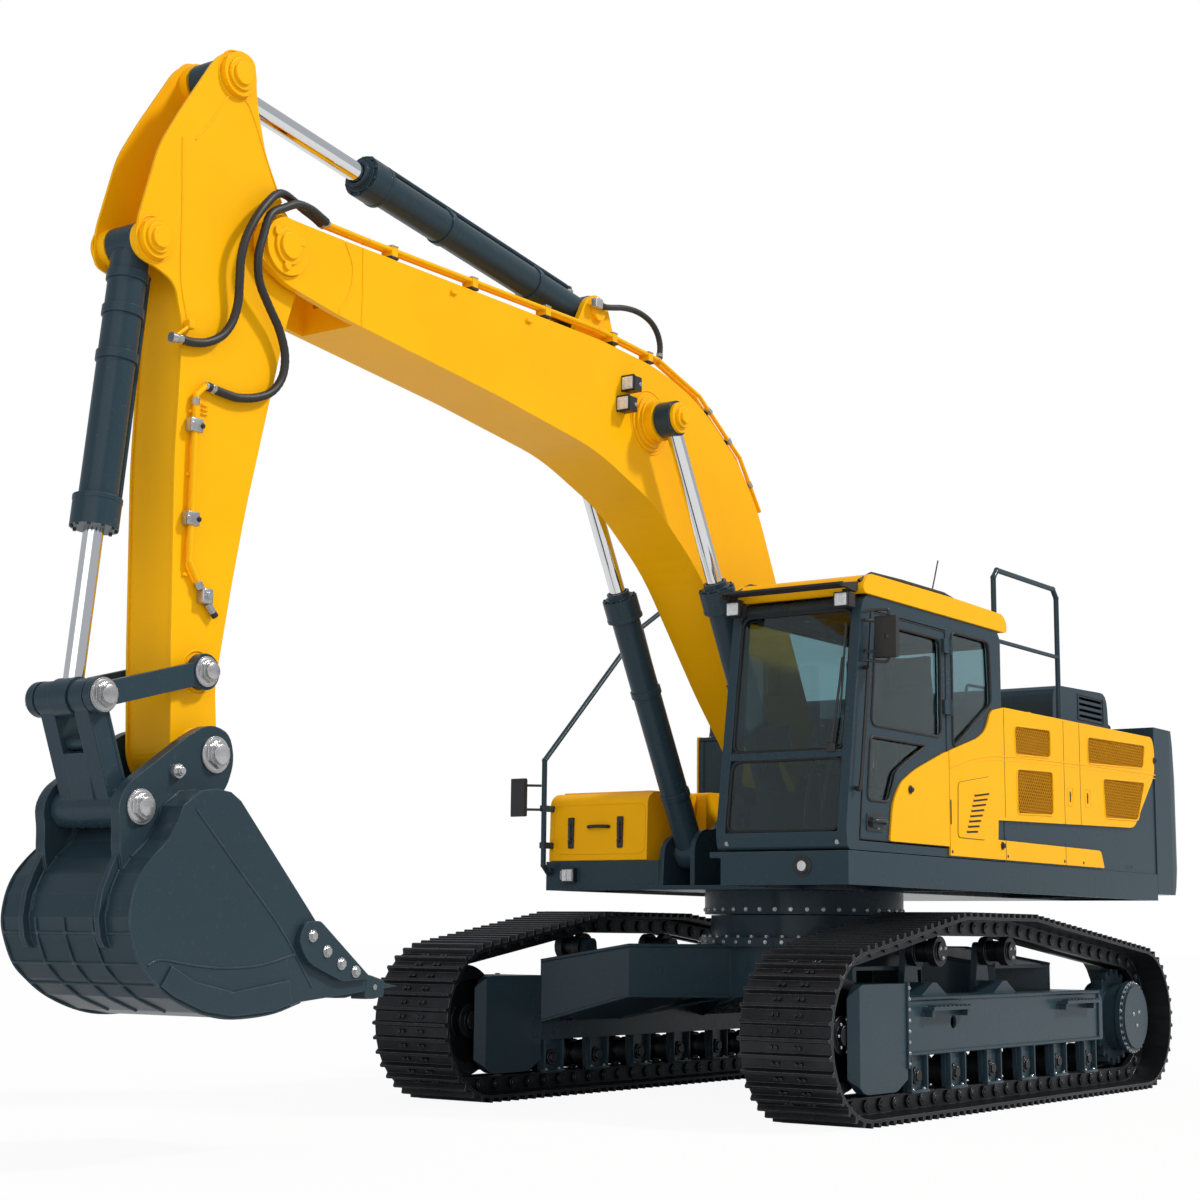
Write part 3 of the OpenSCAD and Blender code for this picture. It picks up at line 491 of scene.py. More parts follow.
def makeStudio(s):
    world = bpy.data.worlds.new("studio")
    bpy.context.scene.world = world
    world.use_nodes = True
    tree = world.node_tree
    kinds = "OutputWorld Background Background LightPath Math MixShader"
    out, soft, seen, path, some, share = newNodes(tree, kinds)
    soft.inputs[0].default_value, soft.inputs[1].default_value = (.93, .96, 1, 1), s["sky"]
    seen.inputs[0].default_value, seen.inputs[1].default_value = (1, 1, 1, 1), 1
    some.operation = "MAXIMUM"
    wireUp(tree, (path, "Is Camera Ray", some, 0), (path, "Is Transmission Ray", some, 1),
           (some, 0, share, 0), (soft, 0, share, 1), (seen, 0, share, 2), (share, 0, out, 0))

    for name, tint in (("sun", (1, .97, .92)), ("fill", (.95, .97, 1))):
        lamp = bpy.data.lights.new(name, "SUN")
        lamp.energy, lamp.angle, lamp.color = s[name], math.radians(s[name + "Angle"]), tint
        sun = bpy.data.objects.new(name, lamp)
        bpy.context.scene.collection.objects.link(sun)
        sun.rotation_mode = "QUATERNION"
        sun.rotation_quaternion = Vector(s[name + "From"]).to_track_quat("Z", "Y")

    mesh = bpy.data.meshes.new("floor")
    mesh.from_pydata([(-150, -150, 0), (150, -150, 0), (150, 150, 0), (-150, 150, 0)], [], [(0, 1, 2, 3)])
    floor = bpy.data.objects.new("floor", mesh)
    bpy.context.scene.collection.objects.link(floor)
    material = bpy.data.materials.new("paleFloor")
    material.use_nodes = True
    tree = material.node_tree
    kinds = "OutputMaterial BsdfDiffuse Emission LightPath Math MixShader"
    out, matt, glow, path, times, share = newNodes(tree, kinds)
    matt.inputs[0].default_value = (.8, .8, .8, 1)
    glow.inputs[0].default_value = (1, 1, 1, 1)
    times.operation = "MULTIPLY"
    times.inputs[1].default_value = s["floorShare"]
    wireUp(tree, (path, "Is Camera Ray", times, 0), (times, 0, share, 0), (matt, 0, share, 1),
           (glow, 0, share, 2), (share, 0, out, 0))
    mesh.materials.append(material)
    bpy.context.scene.view_settings.view_transform = "Standard"


makeStudio(studio)
print("camera, light and floor set")

# track bolts, chain pins and running gear
halfGauge = 1380
steelSlot = "track_steel"  # bright fittings too
tracks = {"bars": 126, "boltDepth": 30, "boltRadius": 13, "boltHeight": 13, "boltRows": (-92, -60, 60, 92),
          "pins": 63, "pinDepth": 98, "pinRadius": 38}


def trackWay(depth, count, shift=0.0):  # places and outward directions, depth inside the grouser tips
    half, wrap, runZ = 2150, 515, 1243
    r = wrap - depth
    front, rear = Vector((half, wrap)), Vector((-half, wrap))
    a, b = Vector((884, runZ - depth)), Vector((-199, runZ - depth))

    def touch(p, c, sign):
        v = c - p
        return math.atan2(v.y, v.x) + sign * (math.asin(r / v.length) + math.pi / 2)

    def arc(c, start, end):
        turns = (start + (end - start) * k / 60 for k in range(61))
        return [c + Vector((math.cos(t), math.sin(t))) * r for t in turns]

    line = [Vector((-half, depth))] + arc(front, -math.pi / 2, touch(a, front, 1)) + [a, b]
    line += arc(rear, touch(b, rear, -1) + 2 * math.pi, 1.5 * math.pi)
    gone = [0.0]
    for p, q in zip(line, line[1:]):
        gone.append(gone[-1] + (q - p).length)
    spots, k = [], 0
    for i in range(count):
        s = (i + shift) * gone[-1] / count
        while gone[k + 1] < s:
            k += 1
        way = (line[k + 1] - line[k]).normalized()
        spots.append((line[k] + way * (s - gone[k]), Vector((way.y, -way.x))))
    return spots


def makeTracks(t):
    bolts, chain = Shape(), Shape()
    for middle in (halfGauge, -halfGauge):
        for p, out in trackWay(t["boltDepth"], t["bars"]):
            for row in t["boltRows"]:
                foot = (p.x, middle + row, p.y)
                bolts.bolt(foot, (out.x, 0, out.y), t["boltRadius"], t["boltHeight"], washer=False)
        for p, _ in trackWay(t["pinDepth"], t["pins"], .5):
            for s in (-1, 1):
                for y0, y1, r, sides in ((97, 112, t["pinRadius"], 12), (111, 117, t["pinRadius"] / 2, 10)):
                    chain.rod((p.x, middle + s * y0, p.y), (p.x, middle + s * y1, p.y), r, sides)
    bolts.done("shoeBolts", "undercarriage", trackSteel, "track_steel")
    chain.done("chainPins", "undercarriage", trackSteel, "track_steel")


makeTracks(tracks)

runningGear = {"rollers": [-1320 + k * 532 for k in range(6)], "carriers": (864, -189), "carrierZ": 996,
               "hub": (-2150, 515), "idler": (2150, 515), "rollerZ": 252, "ringBolts": 40}


def makeRunningGear(g):
    plates, bolts, caps = Shape(), Shape(), Shape()
    base = halfGauge
    for x in g["rollers"]:
        for s in (1, -1):
            face = base + s * 156
            for y0, y1, r, sides in ((0, 16, 52, 20), (16, 30, 34, 6)):
                caps.rod((x, face + s * y0, g["rollerZ"]), (x, face + s * y1, g["rollerZ"]), r, sides)
            plates.box((x - 118, face, 150), (x + 118, face + s * 40, 170), 3)
            for dx in (-104, 104):
                plates.box((x + dx - 7, face, 168), (x + dx + 7, face + s * 34, 372), 2)
                bolts.bolt((x + dx * .72, face + s * 20, 170), (0, 0, 1), 11, 12)
    for x in g["carriers"]:
        bolts.boltRing((x, g["carrierZ"]), base + 122, 40, 3, 9, 8, .5)
    bolts.boltRing(g["hub"], base + 186, 247, 30, 11, 13)
    bolts.boltRing(g["hub"], base + 214, 60, 3, 10, 8, .4)
    bolts.boltRing(g["idler"], base + 128, 92, 8, 10, 4, washer=False)
    # rolled edges of the side frame, and the flange the guard is bolted to
    for z in (384, 710):
        plates.rod((-1510, base + 179, z), (1490, base + 179, z), 14, 14)
    plates.box((1486, base + 176, 300), (1512, base + 204, 812), 4)
    plates.box((-1500, base + 176, 384), (-1484, base + 194, 710), 3)
    for k in range(8):
        bolts.bolt((1499, base + 204, 330 + k * 64), (0, 1, 0), 8, 8)
    for x in (720, -1330):  # treads of the steps
        for k in range(9):
            plates.box((x + 20 + k * 60, base + 200, 661), (x + 40 + k * 60, base + 258, 670), 2)
    plates.done("frameTrim", "undercarriage", slatePaint, "dark_paint", mirrored=True)
    caps.done("rollerCaps", "undercarriage", trackSteel, "track_steel", mirrored=True)
    bolts.done("runningBolts", "undercarriage", bareSteel, steelSlot, mirrored=True)
    bolts = Shape()
    for c, s in ring((0, 0), 1, g["ringBolts"]):  # bolt rings of the slewing ring
        bolts.bolt((c * 712, s * 712, 1071), (0, 0, 1), 13, 16)
        bolts.bolt((c * 740, s * 740, 1041), (c, s, 0), 9, 9)
    bolts.done("ringBolts", "undercarriage", bareSteel, steelSlot)
    bolts = Shape()
    for c, s in ring((0, 0), 1, g["ringBolts"], math.pi / g["ringBolts"]):
        bolts.bolt((c * 700, s * 700, 1262), (c, s, 0), 10, 10)
    bolts.done("houseRingBolts", "house", bareSteel, steelSlot)


makeRunningGear(runningGear)
print("running gear dressed")

# pins of the digging gear, in the side plane
pins = {"foot": (230, 2090), "tip": (5654, 4529), "boomEye": (2320, 4300), "boomBase": (880, 1640),
        "armBase": (2791, 4922), "armEye": (5977, 5354), "cylBase": (6480, 4350), "linkPin": (6716, 2127),
        "idlerPin": (6086, 2299), "hook": (6075, 1900), "bucketPin": (6529, 1630)}
pinEnds = {"bucket": (("hook", 286, 62), ("bucketPin", 286, 58)), "arm": (("idlerPin", 217, 52),),
           "idler_links": (("linkPin", 216, 56),)}


def hexEnd(shape, pin, y, r):  # bright washer, nut and pin end outside a bearing
    x, z = pin
    shape.rod((x, y, z), (x, y + 10, z), r * 1.42, 28)
    shape.rod((x, y + 10, z), (x, y + 14, z), r * 1.3, 28, r * 1.1)
    shape.rod((x, y + 10, z), (x, y + 38, z), r * 1.08, 6)
    shape.rod((x, y + 38, z), (x, y + 52, z), r * .8, 24)
    shape.rod((x, y + 52, z), (x, y + 56, z), r * .8, 24, r * .66)


for body, ends in pinEnds.items():
    shape = Shape()
    for pin, y, r in ends:
        hexEnd(shape, pins[pin], y, r)
    shape.done("pinEnds_" + body, body, bareSteel, steelSlot, bevel=1.5, mirrored=True)

# painted caps: place, inner and outer face, radius, sides
pinCaps = {
    "boomCaps": ("boom", yellowPaint, "yellow_paint", [
        (pins["tip"], 240, 254, 96, 36), (pins["tip"], 254, 270, 96 * .72, 36),
        *((c, 240, 256, 24, 20) for c in ring(pins["tip"], 104, 3, .6)),
        (pins["boomEye"], 214, 226, 190, 48), (pins["boomEye"], 226, 244, 165, 48),
        (pins["boomEye"], 244, 262, 142, 48)]),
    "armCaps": ("arm", yellowPaint, "yellow_paint", [
        (pins["armEye"], 184, 198, 84, 36), (pins["armEye"], 198, 214, 84 * .7, 36),
        (pins["cylBase"], 184, 198, 74, 36), (pins["cylBase"], 198, 214, 74 * .7, 36)]),
    "eyeCaps": ("boom_rods", yellowPaint, "yellow_paint", [
        (pins["boomEye"], 436, 462, 98, 40), (pins["boomEye"], 462, 484, 66, 40),
        (pins["boomEye"], 484, 500, 44, 6)]),
    "footCaps": ("house", slatePaint, "dark_paint", [
        (pins["foot"], 276, 300, 92, 36), (pins["foot"], 300, 318, 60, 36)]),
}
for name, (body, material, slotName, levels) in pinCaps.items():
    cap = Shape()
    for (x, z), y0, y1, r, sides in levels:
        cap.rod((x, y0, z), (x, y1, z), r, sides)
    cap.done(name, body, material, slotName, bevel=3, mirrored=True)


# cylinders
cylinders = {
    "boom_barrels": {"from": "boomBase", "to": "boomEye", "y": 380, "r": 95, "gland": 118, "length": 1880,
                     "bands": (420, 1180), "pipe": 1, "both": True, "snout": 44},
    "arm_barrel": {"from": "armBase", "to": "armEye", "y": 0, "r": 98, "gland": 120, "length": 2080,
                   "bands": (500, 1350), "pipe": 1, "both": False, "snout": 44},
    "bucket_barrel": {"from": "cylBase", "to": "linkPin", "y": 0, "r": 92, "gland": 115, "length": 1430,
                      "bands": (150, 330, 560), "pipe": -1, "both": False, "snout": 0},
}


def makeCylinder(name, c):
    a, b = Vector(pins[c["from"]]), Vector(pins[c["to"]])
    run = (b - a).normalized()
    side = Vector((-run.y, run.x)) * c["pipe"]

    def spot(t, n=0, y=0):  # along the axis, off it and sideways
        p = a + run * t + side * n
        return (p.x, c["y"] + y, p.y)

    dark, bright = Shape(), Shape()
    r, gland, end = c["r"], c["gland"], c["length"]
    ports = (130, end - 60)
    for t in c["bands"]:
        dark.sleeve(spot(t), spot(t + 46), r - 4, r + 9)
        x, z = spot(t, r)[0], spot(t + 20, r)[2]
        dark.box((x - 26, c["y"] - 26, z - 26), (x + 26, c["y"] + 26, z + 26), 5)
    dark.sleeve(spot(end - 150), spot(end - 128), r - 4, gland + 3)
    if c["snout"]:  # rings round the rod, where its eye stays clear of them
        dark.sleeve(spot(end), spot(end + 12), gland / 2, gland - 22)
        dark.sleeve(spot(end + 12), spot(end + c["snout"]), gland / 2, gland - 42)
    for u, v in ring((0, 0), gland - 12, 10):
        dark.bolt(spot(end, u, v), (run.x, 0, run.y), 9, 10, washer=False)
    # steel pipe from the foot port to the gland, held by the bands
    far = r + 34
    way = ((ports[0], r - 10), (ports[0], far), (190, far), (end - 120, far), (ports[1], far),
           (ports[1], gland - 10))
    line = [spot(t, n) for t, n in way]
    dark.tube(line, 15, 12)
    dark.ball(line[1], 17)
    dark.ball(line[4], 17)
    dark.done(name + "_fittings", name, slatePaint, "dark_paint", bevel=2, mirrored=c["both"])
    for t in ports:
        bright.rod(spot(t, r), spot(t, r + 22), 27, 6)
    bright.done(name + "_nuts", name, bareSteel, steelSlot, mirrored=c["both"])


for name, values in cylinders.items():
    makeCylinder(name, values)


def eyesInPaint(name, pin, reach):  # rod eyes are painted, rods are chromed
    mesh = nodes[name].data
    mesh.materials.append(slatePaint)
    x, z = pins[pin]
    spot = at(x, 0, z)
    for face in mesh.polygons:
        c = face.center
        if math.hypot(c.x - spot.x, c.z - spot.z) < reach / 1000:
            face.material_index = 1


eyesInPaint("boom_rods", "boomEye", 128)
eyesInPaint("arm_rod", "armEye", 128)
eyesInPaint("bucket_rod", "linkPin", 112)
print("pins and cylinders dressed")

# house skins
skinY = 1495  # outer face of the side panels
grilleHoles = {
    "frontUpper": [(-912, 2350), (-312, 2330), (-300, 2530), (-912, 2550)],
    "frontLower": [(-942, 1945), (-330, 1925), (-330, 2235), (-942, 2255)],
    "rearUpper": [(-2700, 2400), (-1590, 2360), (-1590, 2560), (-2740, 2585)],
    "rearLower": [(-2560, 1990), (-1900, 1975), (-1870, 2270), (-2720, 2295)],
}
grilleWire = {"pitch": 27, "r": 4.2, "lean": 52, "y": skinY - 7, "corner": 42}


def rounded(outline, cut, steps=5):  # outline with each corner as a curve
    points = []
    count = len(outline)
    for k in range(count):
        before, here, after = Vector(outline[k - 1]), Vector(outline[k]), Vector(outline[(k + 1) % count])
        one = here + (before - here).normalized() * min(cut, (before - here).length * .45)
        two = here + (after - here).normalized() * min(cut, (after - here).length * .45)
        for i in range(steps + 1):
            t = i / steps
            points.append(tuple(one * (1 - t) ** 2 + here * 2 * t * (1 - t) + two * t * t))
    return points


def centreOf(outline):
    return sum((Vector(p) for p in outline), Vector((0, 0))) / len(outline)


def clipped(point, way, outline):  # part of a line inside a convex outline
    low, high = -1e6, 1e6
    middle = centreOf(outline)
    for k in range(len(outline)):
        a, b = Vector(outline[k - 1]), Vector(outline[k])
        normal = Vector((a.y - b.y, b.x - a.x))
        if normal.dot(middle - a) < 0:
            normal = -normal
        away, rate = normal.dot(point - a), normal.dot(way)
        if abs(rate) < 1e-9:
            continue
        t = -away / rate
        if rate > 0:
            low = max(low, t)
        else:
            high = min(high, t)
    return (low, high) if high - low > 4 else None


def makeGrilles(g):
    for side, rest, names in ((1, "Left", tuple(grilleHoles)), (-1, "Right", ("rearUpper", "rearLower"))):
        wires, rims = Shape(), Shape()
        for name in names:
            outline = rounded(grilleHoles[name], g["corner"])
            middle = centreOf(outline)
            for lean, y in ((g["lean"], g["y"]), (-g["lean"], g["y"] - 3)):
                way = Vector((math.cos(math.radians(lean)), math.sin(math.radians(lean))))
                across = Vector((-way.y, way.x))
                for k in range(-34, 35):
                    start = middle + across * g["pitch"] * k
                    part = clipped(start, way, outline)
                    if part:
                        a, b = start + way * part[0], start + way * part[1]
                        wires.rod((a.x, side * y, a.y), (b.x, side * y, b.y), g["r"], 5)
            rims.tube(atSide(outline, side * skinY), 7, 8, closed=True)
        piece = wires.done("grilleWires" + rest, "house", shadedMeshPaint, "yellow_paint")
        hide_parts("grilles")
        rims.done("grilleRims" + rest, "house", yellowPaint, "yellow_paint")


makeGrilles(grilleWire)

panelTrim = {
    "crease": [(716, 2167), (350, 2253), (-127, 2304), (-1450, 2343), (-2950, 2366)],
    "rightCrease": [(-930, 2330), (-1450, 2343), (-2950, 2366)],
    "seams": {1: (-131, -1146, -1438), -1: (-1146, -1438)},
    "lowSeams": (-131, -1146),
    "door": [(595, 2081), (109, 2151), (45, 2078), (196, 1725), (609, 1726)],
    "latches": ((-1248, 2096), (-1568, 2104)),
    "knobs": ((1273, 1993), (-74, 1698), (-2936, 2480)),
    "screws": {1: (690, -160, -1120, -1465, -2400), -1: (-1000, -1120, -1465, -2400)},
}


def seamTop(x):  # height of the panel's upper edge
    return 2632 + (-140 - x) * .0072


def bothPanels(p, side, ridge, dark, knobs):  # what the two sides share
    # dark strips on the panel seams: painted shade of the gaps
    for x in p["seams"][side]:
        dark.plate(oblong(x - 3, 1890, x + 3, seamTop(x)), *sorted((side * skinY, side * (skinY + 1.8))))
    for x, z in p["latches"]:
        rim = rounded(oblong(x - 46, z - 66, x + 46, z + 66), 12, 3)
        ridge.tube(atSide(rim, side * (skinY + .5)), 3.5, 6, closed=True)
        pull = rounded(oblong(x - 9, z - 38, x + 9, z + 38), 6, 3)
        dark.plate(pull, *sorted((side * skinY, side * (skinY + 3))))
    for x in p["screws"][side]:  # along the lower edge
        knobs.bolt((x, side * skinY, 1630), (0, side, 0), 8, 5)


def makePanels(p):
    ridge, dark, knobs, raised = Shape(), Shape(), Shape(), Shape()
    crease = sideCurve(p["crease"], skinY - .5, 40)
    ridge.tube(crease, 5.5, 8)
    ridge.tube([(v.x, v.y, v.z - 26) for v in crease[3:]], 3.5, 8)
    bothPanels(p, 1, ridge, dark, knobs)
    # dark strips on the lower seams: painted shade of the gaps
    for x in p["lowSeams"]:
        dark.plate(oblong(x - 3, 1606, x + 3, 1760), skinY, skinY + 1.8)
    outline = rounded(p["door"], 34)
    raised.plate(outline, skinY - 2, skinY + 7)
    # dark line round the raised louvre door: painted shade at its edge
    dark.tube(atSide(outline, skinY + .5), 3.4, 6, closed=True)
    for k in range(8):  # slanted louvres, their slots dark strips: painted shade in the openings
        t = k / 7
        a = Vector((360, 2010)).lerp(Vector((486, 1766)), t)
        b = Vector((138, 2036)).lerp(Vector((322, 1776)), t)
        dark.plate([(a.x, a.y - 8), (a.x, a.y + 5), (b.x, b.y + 5), (b.x, b.y - 8)], skinY + 5, skinY + 8.2)
        lip = [(a.x + 4, a.y + 4), (a.x + 4, a.y + 13), (b.x - 4, b.y + 13), (b.x - 4, b.y + 4)]
        raised.plate(lip, skinY + 5, skinY + 16)
    for x, z in p["latches"]:
        knobs.bolt((x, skinY + 2, z + 14), (0, 1, 0), 7, 5)
    for x, z in p["knobs"]:
        knobs.rod((x, skinY, z), (x, skinY + 5, z), 27, 24)
        knobs.rod((x, skinY + 5, z), (x, skinY + 21, z), 19, 24, 15)
        knobs.ball((x, skinY + 19, z), 15, (1, .5, 1))
    # dark strip beside the gap at the cab: painted shade
    dark.plate(oblong(700, 1805, 712, 1963), skinY, skinY + 4)
    ridge.done("panelCrease", "house", yellowPaint, "yellow_paint", 60)
    dark.done("panelSeams", "house", sealRubberAndPaintedShade, "black_paint")
    knobs.done("panelKnobs", "house", blackPlastic, "trim_plastic")
    raised.done("louvreDoor", "house", yellowPaint, "yellow_paint", bevel=2.5)
    # the other side
    ridge, dark, knobs = Shape(), Shape(), Shape()
    ridge.tube(atSide(p["rightCrease"], .5 - skinY), 5.5, 8)
    bothPanels(p, -1, ridge, dark, knobs)
    ridge.done("rightCrease", "house", yellowPaint, "yellow_paint", 60)
    dark.done("rightSeams", "house", sealRubberAndPaintedShade, "black_paint")
    knobs.done("rightScrews", "house", blackPlastic, "trim_plastic")


makePanels(panelTrim)
print("side panels dressed")

# counterweight, hood and deck
rear = {"crease": 2361, "step": 1648, "top": 2747, "arc": (2360, 6000)}


def tailEdge(y):  # plan line of the counterweight's rear face
    return rear["arc"][0] - math.sqrt(rear["arc"][1] ** 2 - y * y)


def makeRear(r):
    dark, trim, knobs, lamps = Shape(), Shape(), Shape(), Shape()
    # dark lines along the crease and the step of the rear face: painted shade
    for z in (r["crease"], r["step"]):
        dark.tube([(tailEdge(y) + .5, y, z) for y in range(-1330, 1331, 70)], 5, 6)
    for y in (-470, 470):  # rubber buffers
        x = tailEdge(y)
        trim.box((x - 22, y - 130, 1700), (x + 30, y + 130, 1760), 8)
    for y in (-900, 900):  # hand holds on the top
        bow = ((-90, 0), (-90, 56), (-70, 76), (70, 76), (90, 56), (90, 0))
        trim.tube([(-3300, y + dy, r["top"] + dz) for dy, dz in bow], 11, 12)
    for y in (-250, 250):
        knobs.rod((-3280, y, r["top"]), (-3280, y, r["top"] + 14), 46, 28)
        knobs.bolt((-3280, y, r["top"] + 14), (0, 0, 1), 24, 18)
    x = tailEdge(0)
    trim.box((x - 18, -70, 2200), (x + 30, 70, 2290), 10)  # housing of the rear camera
    knobs.rod((x - 30, 0, 2245), (x, 0, 2245), 26, 24)
    for y in (-1150, 1150):  # rear lamps
        x = tailEdge(y)
        trim.box((x - 20, y - 90, 2090), (x + 50, y + 90, 2170), 10)
        lamps.box((x - 26, y - 78, 2100), (x - 10, y - 4, 2160), 6)
        lamps.box((x - 26, y + 4, 2100), (x - 10, y + 78, 2160), 6)
    dark.done("tailSeams", "house", sealRubberAndPaintedShade, "black_paint")
    trim.done("tailTrim", "house", blackPlastic, "trim_plastic", bevel=2)
    knobs.done("tailPlugs", "house", slatePaint, "dark_paint", bevel=2)
    lamps.done("tailLenses", "house", redLens, "lamp_lens")


makeRear(rear)

deckTop = 2632
hoodTrim = {
    "seams": (-380, 430), "latches": (-700, 25, 900), "sides": (-960, 1210),
    "seamLine": ((-1541, 2640), (-1553, 2840), (-1588, 2928), (-1684, 2964), (-2480, 2987)),
    "bow": ((-1900, 2966), (-1900, 3024), (-1930, 3044), (-2240, 3052), (-2270, 3034), (-2270, 2978)),
    "stack": (-1900, -600),
    "exhaust": ((-1900, 3240), (-1900, 3330), (-1915, 3400), (-1970, 3455), (-2040, 3470)),
    "treads": ((range(-1480, -260, 74), range(620, 1300, 74)),
               (range(-1480, -1000, 74), range(-1380, 480, 74))),
}


def makeHood(h):
    seams, trim, steel, tread, lever = Shape(), Shape(), Shape(), Shape(), Shape()
    # dark lines along the lid's seams: painted shade of the gaps
    for y in h["seams"]:
        seams.tube(atSide(h["seamLine"], y), 4, 6)
    for y in h["latches"]:  # on the front, with hinges at the back
        trim.box((-1554, y - 34, 2690), (-1528, y + 34, 2790), 5)
        steel.rod((-1532, y - 16, 2740), (-1532, y + 16, 2740), 9, 12)
        trim.rod((-2618, y - 60, 2840), (-2618, y + 60, 2840), 14, 14)
    for y in h["sides"]:  # rims of the slotted field
        inner, outer = (y + math.copysign(out, y) for out in (36, 46))
        for x in (-2524, -2026):
            trim.box((x - 8, inner, 2736), (x + 8, outer, 2938), 3)
        for z in (2736, 2928):
            trim.box((-2524, inner, z), (-2026, outer, z + 10), 3)
    trim.tube(atSide(h["bow"], 380), 12, 12)
    trim.tube(sideCurve(h["exhaust"], h["stack"][1], 24), 58, 24)  # exhaust tip, bent back
    for z0, z1, r in ((3262, 3286, 74), (2964, 2998, 84)):
        steel.rod((*h["stack"], z0), (*h["stack"], z1), r, 36)
    for columns, rows in h["treads"]:
        for x in columns:
            for k, y in enumerate(rows):
                u = x + k % 2 * 37
                tread.rod((u, y, deckTop - 1), (u, y, deckTop + 6), 15, 8, 11)
    seams.done("hoodSeams", "house", sealRubberAndPaintedShade, "black_paint")
    trim.done("hoodTrim", "house", blackPlastic, "trim_plastic", bevel=2)
    steel.done("hoodSteel", "house", bareSteel, steelSlot)
    tread.done("deckTreads", "house", slatePaint, "dark_paint")
    # filler lever beside the rail
    lever.box((-1400, 1060, deckTop), (-1290, 1180, deckTop + 54), 14)
    lever.box((-1530, 1085, deckTop + 54), (-1300, 1155, deckTop + 86), 14)
    lever.rod((-1345, 1120, deckTop), (-1345, 1120, deckTop + 104), 40, 24)
    lever.done("fillerLever", "house", yellowPaint, "yellow_paint", bevel=3)


makeHood(hoodTrim)

# rails, tank, toolbox and mirrors
deckFurniture = {
    "rails": ((-262, 1380), (-1350, 1380), (-1080, -1450)),
    "filler": (-500, -800), "sender": (-100, -1200),
    "lid": ((440, -1440), (910, -1440), (935, -1415), (935, -700), (910, -675), (440, -675)),
    "handle": ((1036, -1130, 1826), (1066, -1120, 1828), (1070, -1046, 1830), (1066, -972, 1828),
               (1036, -962, 1826)),
    "cage": ((1098, 1452), (1116, 1462), (1118, 1490), (1116, 1518), (1098, 1528)),
    "mirrors": ((1748, 1542, 1664, 2775, 3005), (1229, -1650, -1550, 1912, 2158)),
}


def makeDeckFurniture(d):
    feet, latch, steel, lenses, rim, mirror, skirt = (Shape() for k in range(7))
    for x, y in d["rails"]:
        feet.box((x - 46, y - 26, deckTop), (x + 46, y + 26, deckTop + 12), 4)
        feet.rod((x, y, deckTop + 10), (x, y, deckTop + 54), 27, 24, 21)
        for dx in (-32, 32):
            steel.bolt((x + dx, y, deckTop + 12), (0, 0, 1), 8, 8)
    # clamps that hold the front rail to the box
    for z in (1700, 1960):
        feet.box((1030, -1478, z - 22), (1166, -1436, z + 22), 5)
    feet.box((1040, -1474, 1505), (1104, -1426, 1545), 5)
    # tank top: filler cap, sender, treads
    steel.rod((*d["filler"], 2098), (*d["filler"], 2128), 90, 36)
    latch.rod((*d["filler"], 2126), (*d["filler"], 2170), 72, 28)
    latch.box((-570, -812, 2166), (-430, -788, 2192), 6)
    steel.rod((*d["sender"], 2084), (*d["sender"], 2096), 60, 30)
    for x, y in ring(d["sender"], 46, 6):
        steel.bolt((x, y, 2096), (0, 0, 1), 6, 6)
    for i in range(9):
        x = -840 + i * 70 + 620 * (i > 4)
        z = 2116 - (x + 900) * .0458
        for k in range(4):
            y = -1400 + k * 60
            rim.rod((x, y, z), (x, y, z + 10), 14, 8, 10)
    # toolbox: raised rim, latches and handle on the front
    front = rounded(oblong(-1440, 1640, -660, 1985), 60)
    rim.tube([(1046 - (z - 1590) * .032, y, z) for y, z in front], 7, 8, closed=True)
    rim.tube([(x, y, 2070) for x, y in d["lid"]], 7, 8)
    for y in (-1285, -865):
        for z, h in ((1862, 34), (1790, 44), (1712, 34)):
            latch.box((1030, y - 24, z - h), (1058, y + 24, z + h), 8)
        latch.rod((1062, y, 1846), (1062, y, 1730), 11, 14)
        latch.ball((1062, y, 1846), 16)
        latch.ball((1062, y, 1730), 16)
    latch.tube(curve(d["handle"], 20), 12, 12)
    # front lamp on the right, with its cage
    lenses.box((1100, -1322, 1450), (1106, -1228, 1530), 6)
    for y in (-1322, -1275, -1228):
        steel.tube(atSide(d["cage"], y), 3, 8)
    # round lamp in the skirt under the cab
    skirt.rod((2066, 1176, 1498), (2076, 1176, 1498), 62, 36)
    skirt.rod((2074, 1176, 1498), (2084, 1176, 1498), 52, 36, 46)
    lenses.ball((2074, 1176, 1498), 42, (.35, 1, 1))
    skirt.done("skirtLamp", "house", blackPlastic, "trim_plastic")
    for x, y0, y1, z0, z1 in d["mirrors"]:
        mirror.box((x - 4, y0, z0), (x + 4, y1, z1), 3)
    feet.done("railFeet", "house", slatePaint, "dark_paint", bevel=2)
    latch.done("boxLatches", "house", blackPlastic, "trim_plastic", bevel=2)
    steel.done("deckSteel", "house", bareSteel, steelSlot)
    rim.done("boxRims", "house", yellowPaint, "yellow_paint")
    lenses.done("lampFaces", "house", lampLens, "lamp_lens")
    mirror.done("mirrorFaces", "house", chromeRod, "chrome_rod")


makeDeckFurniture(deckFurniture)
print("house dressed")

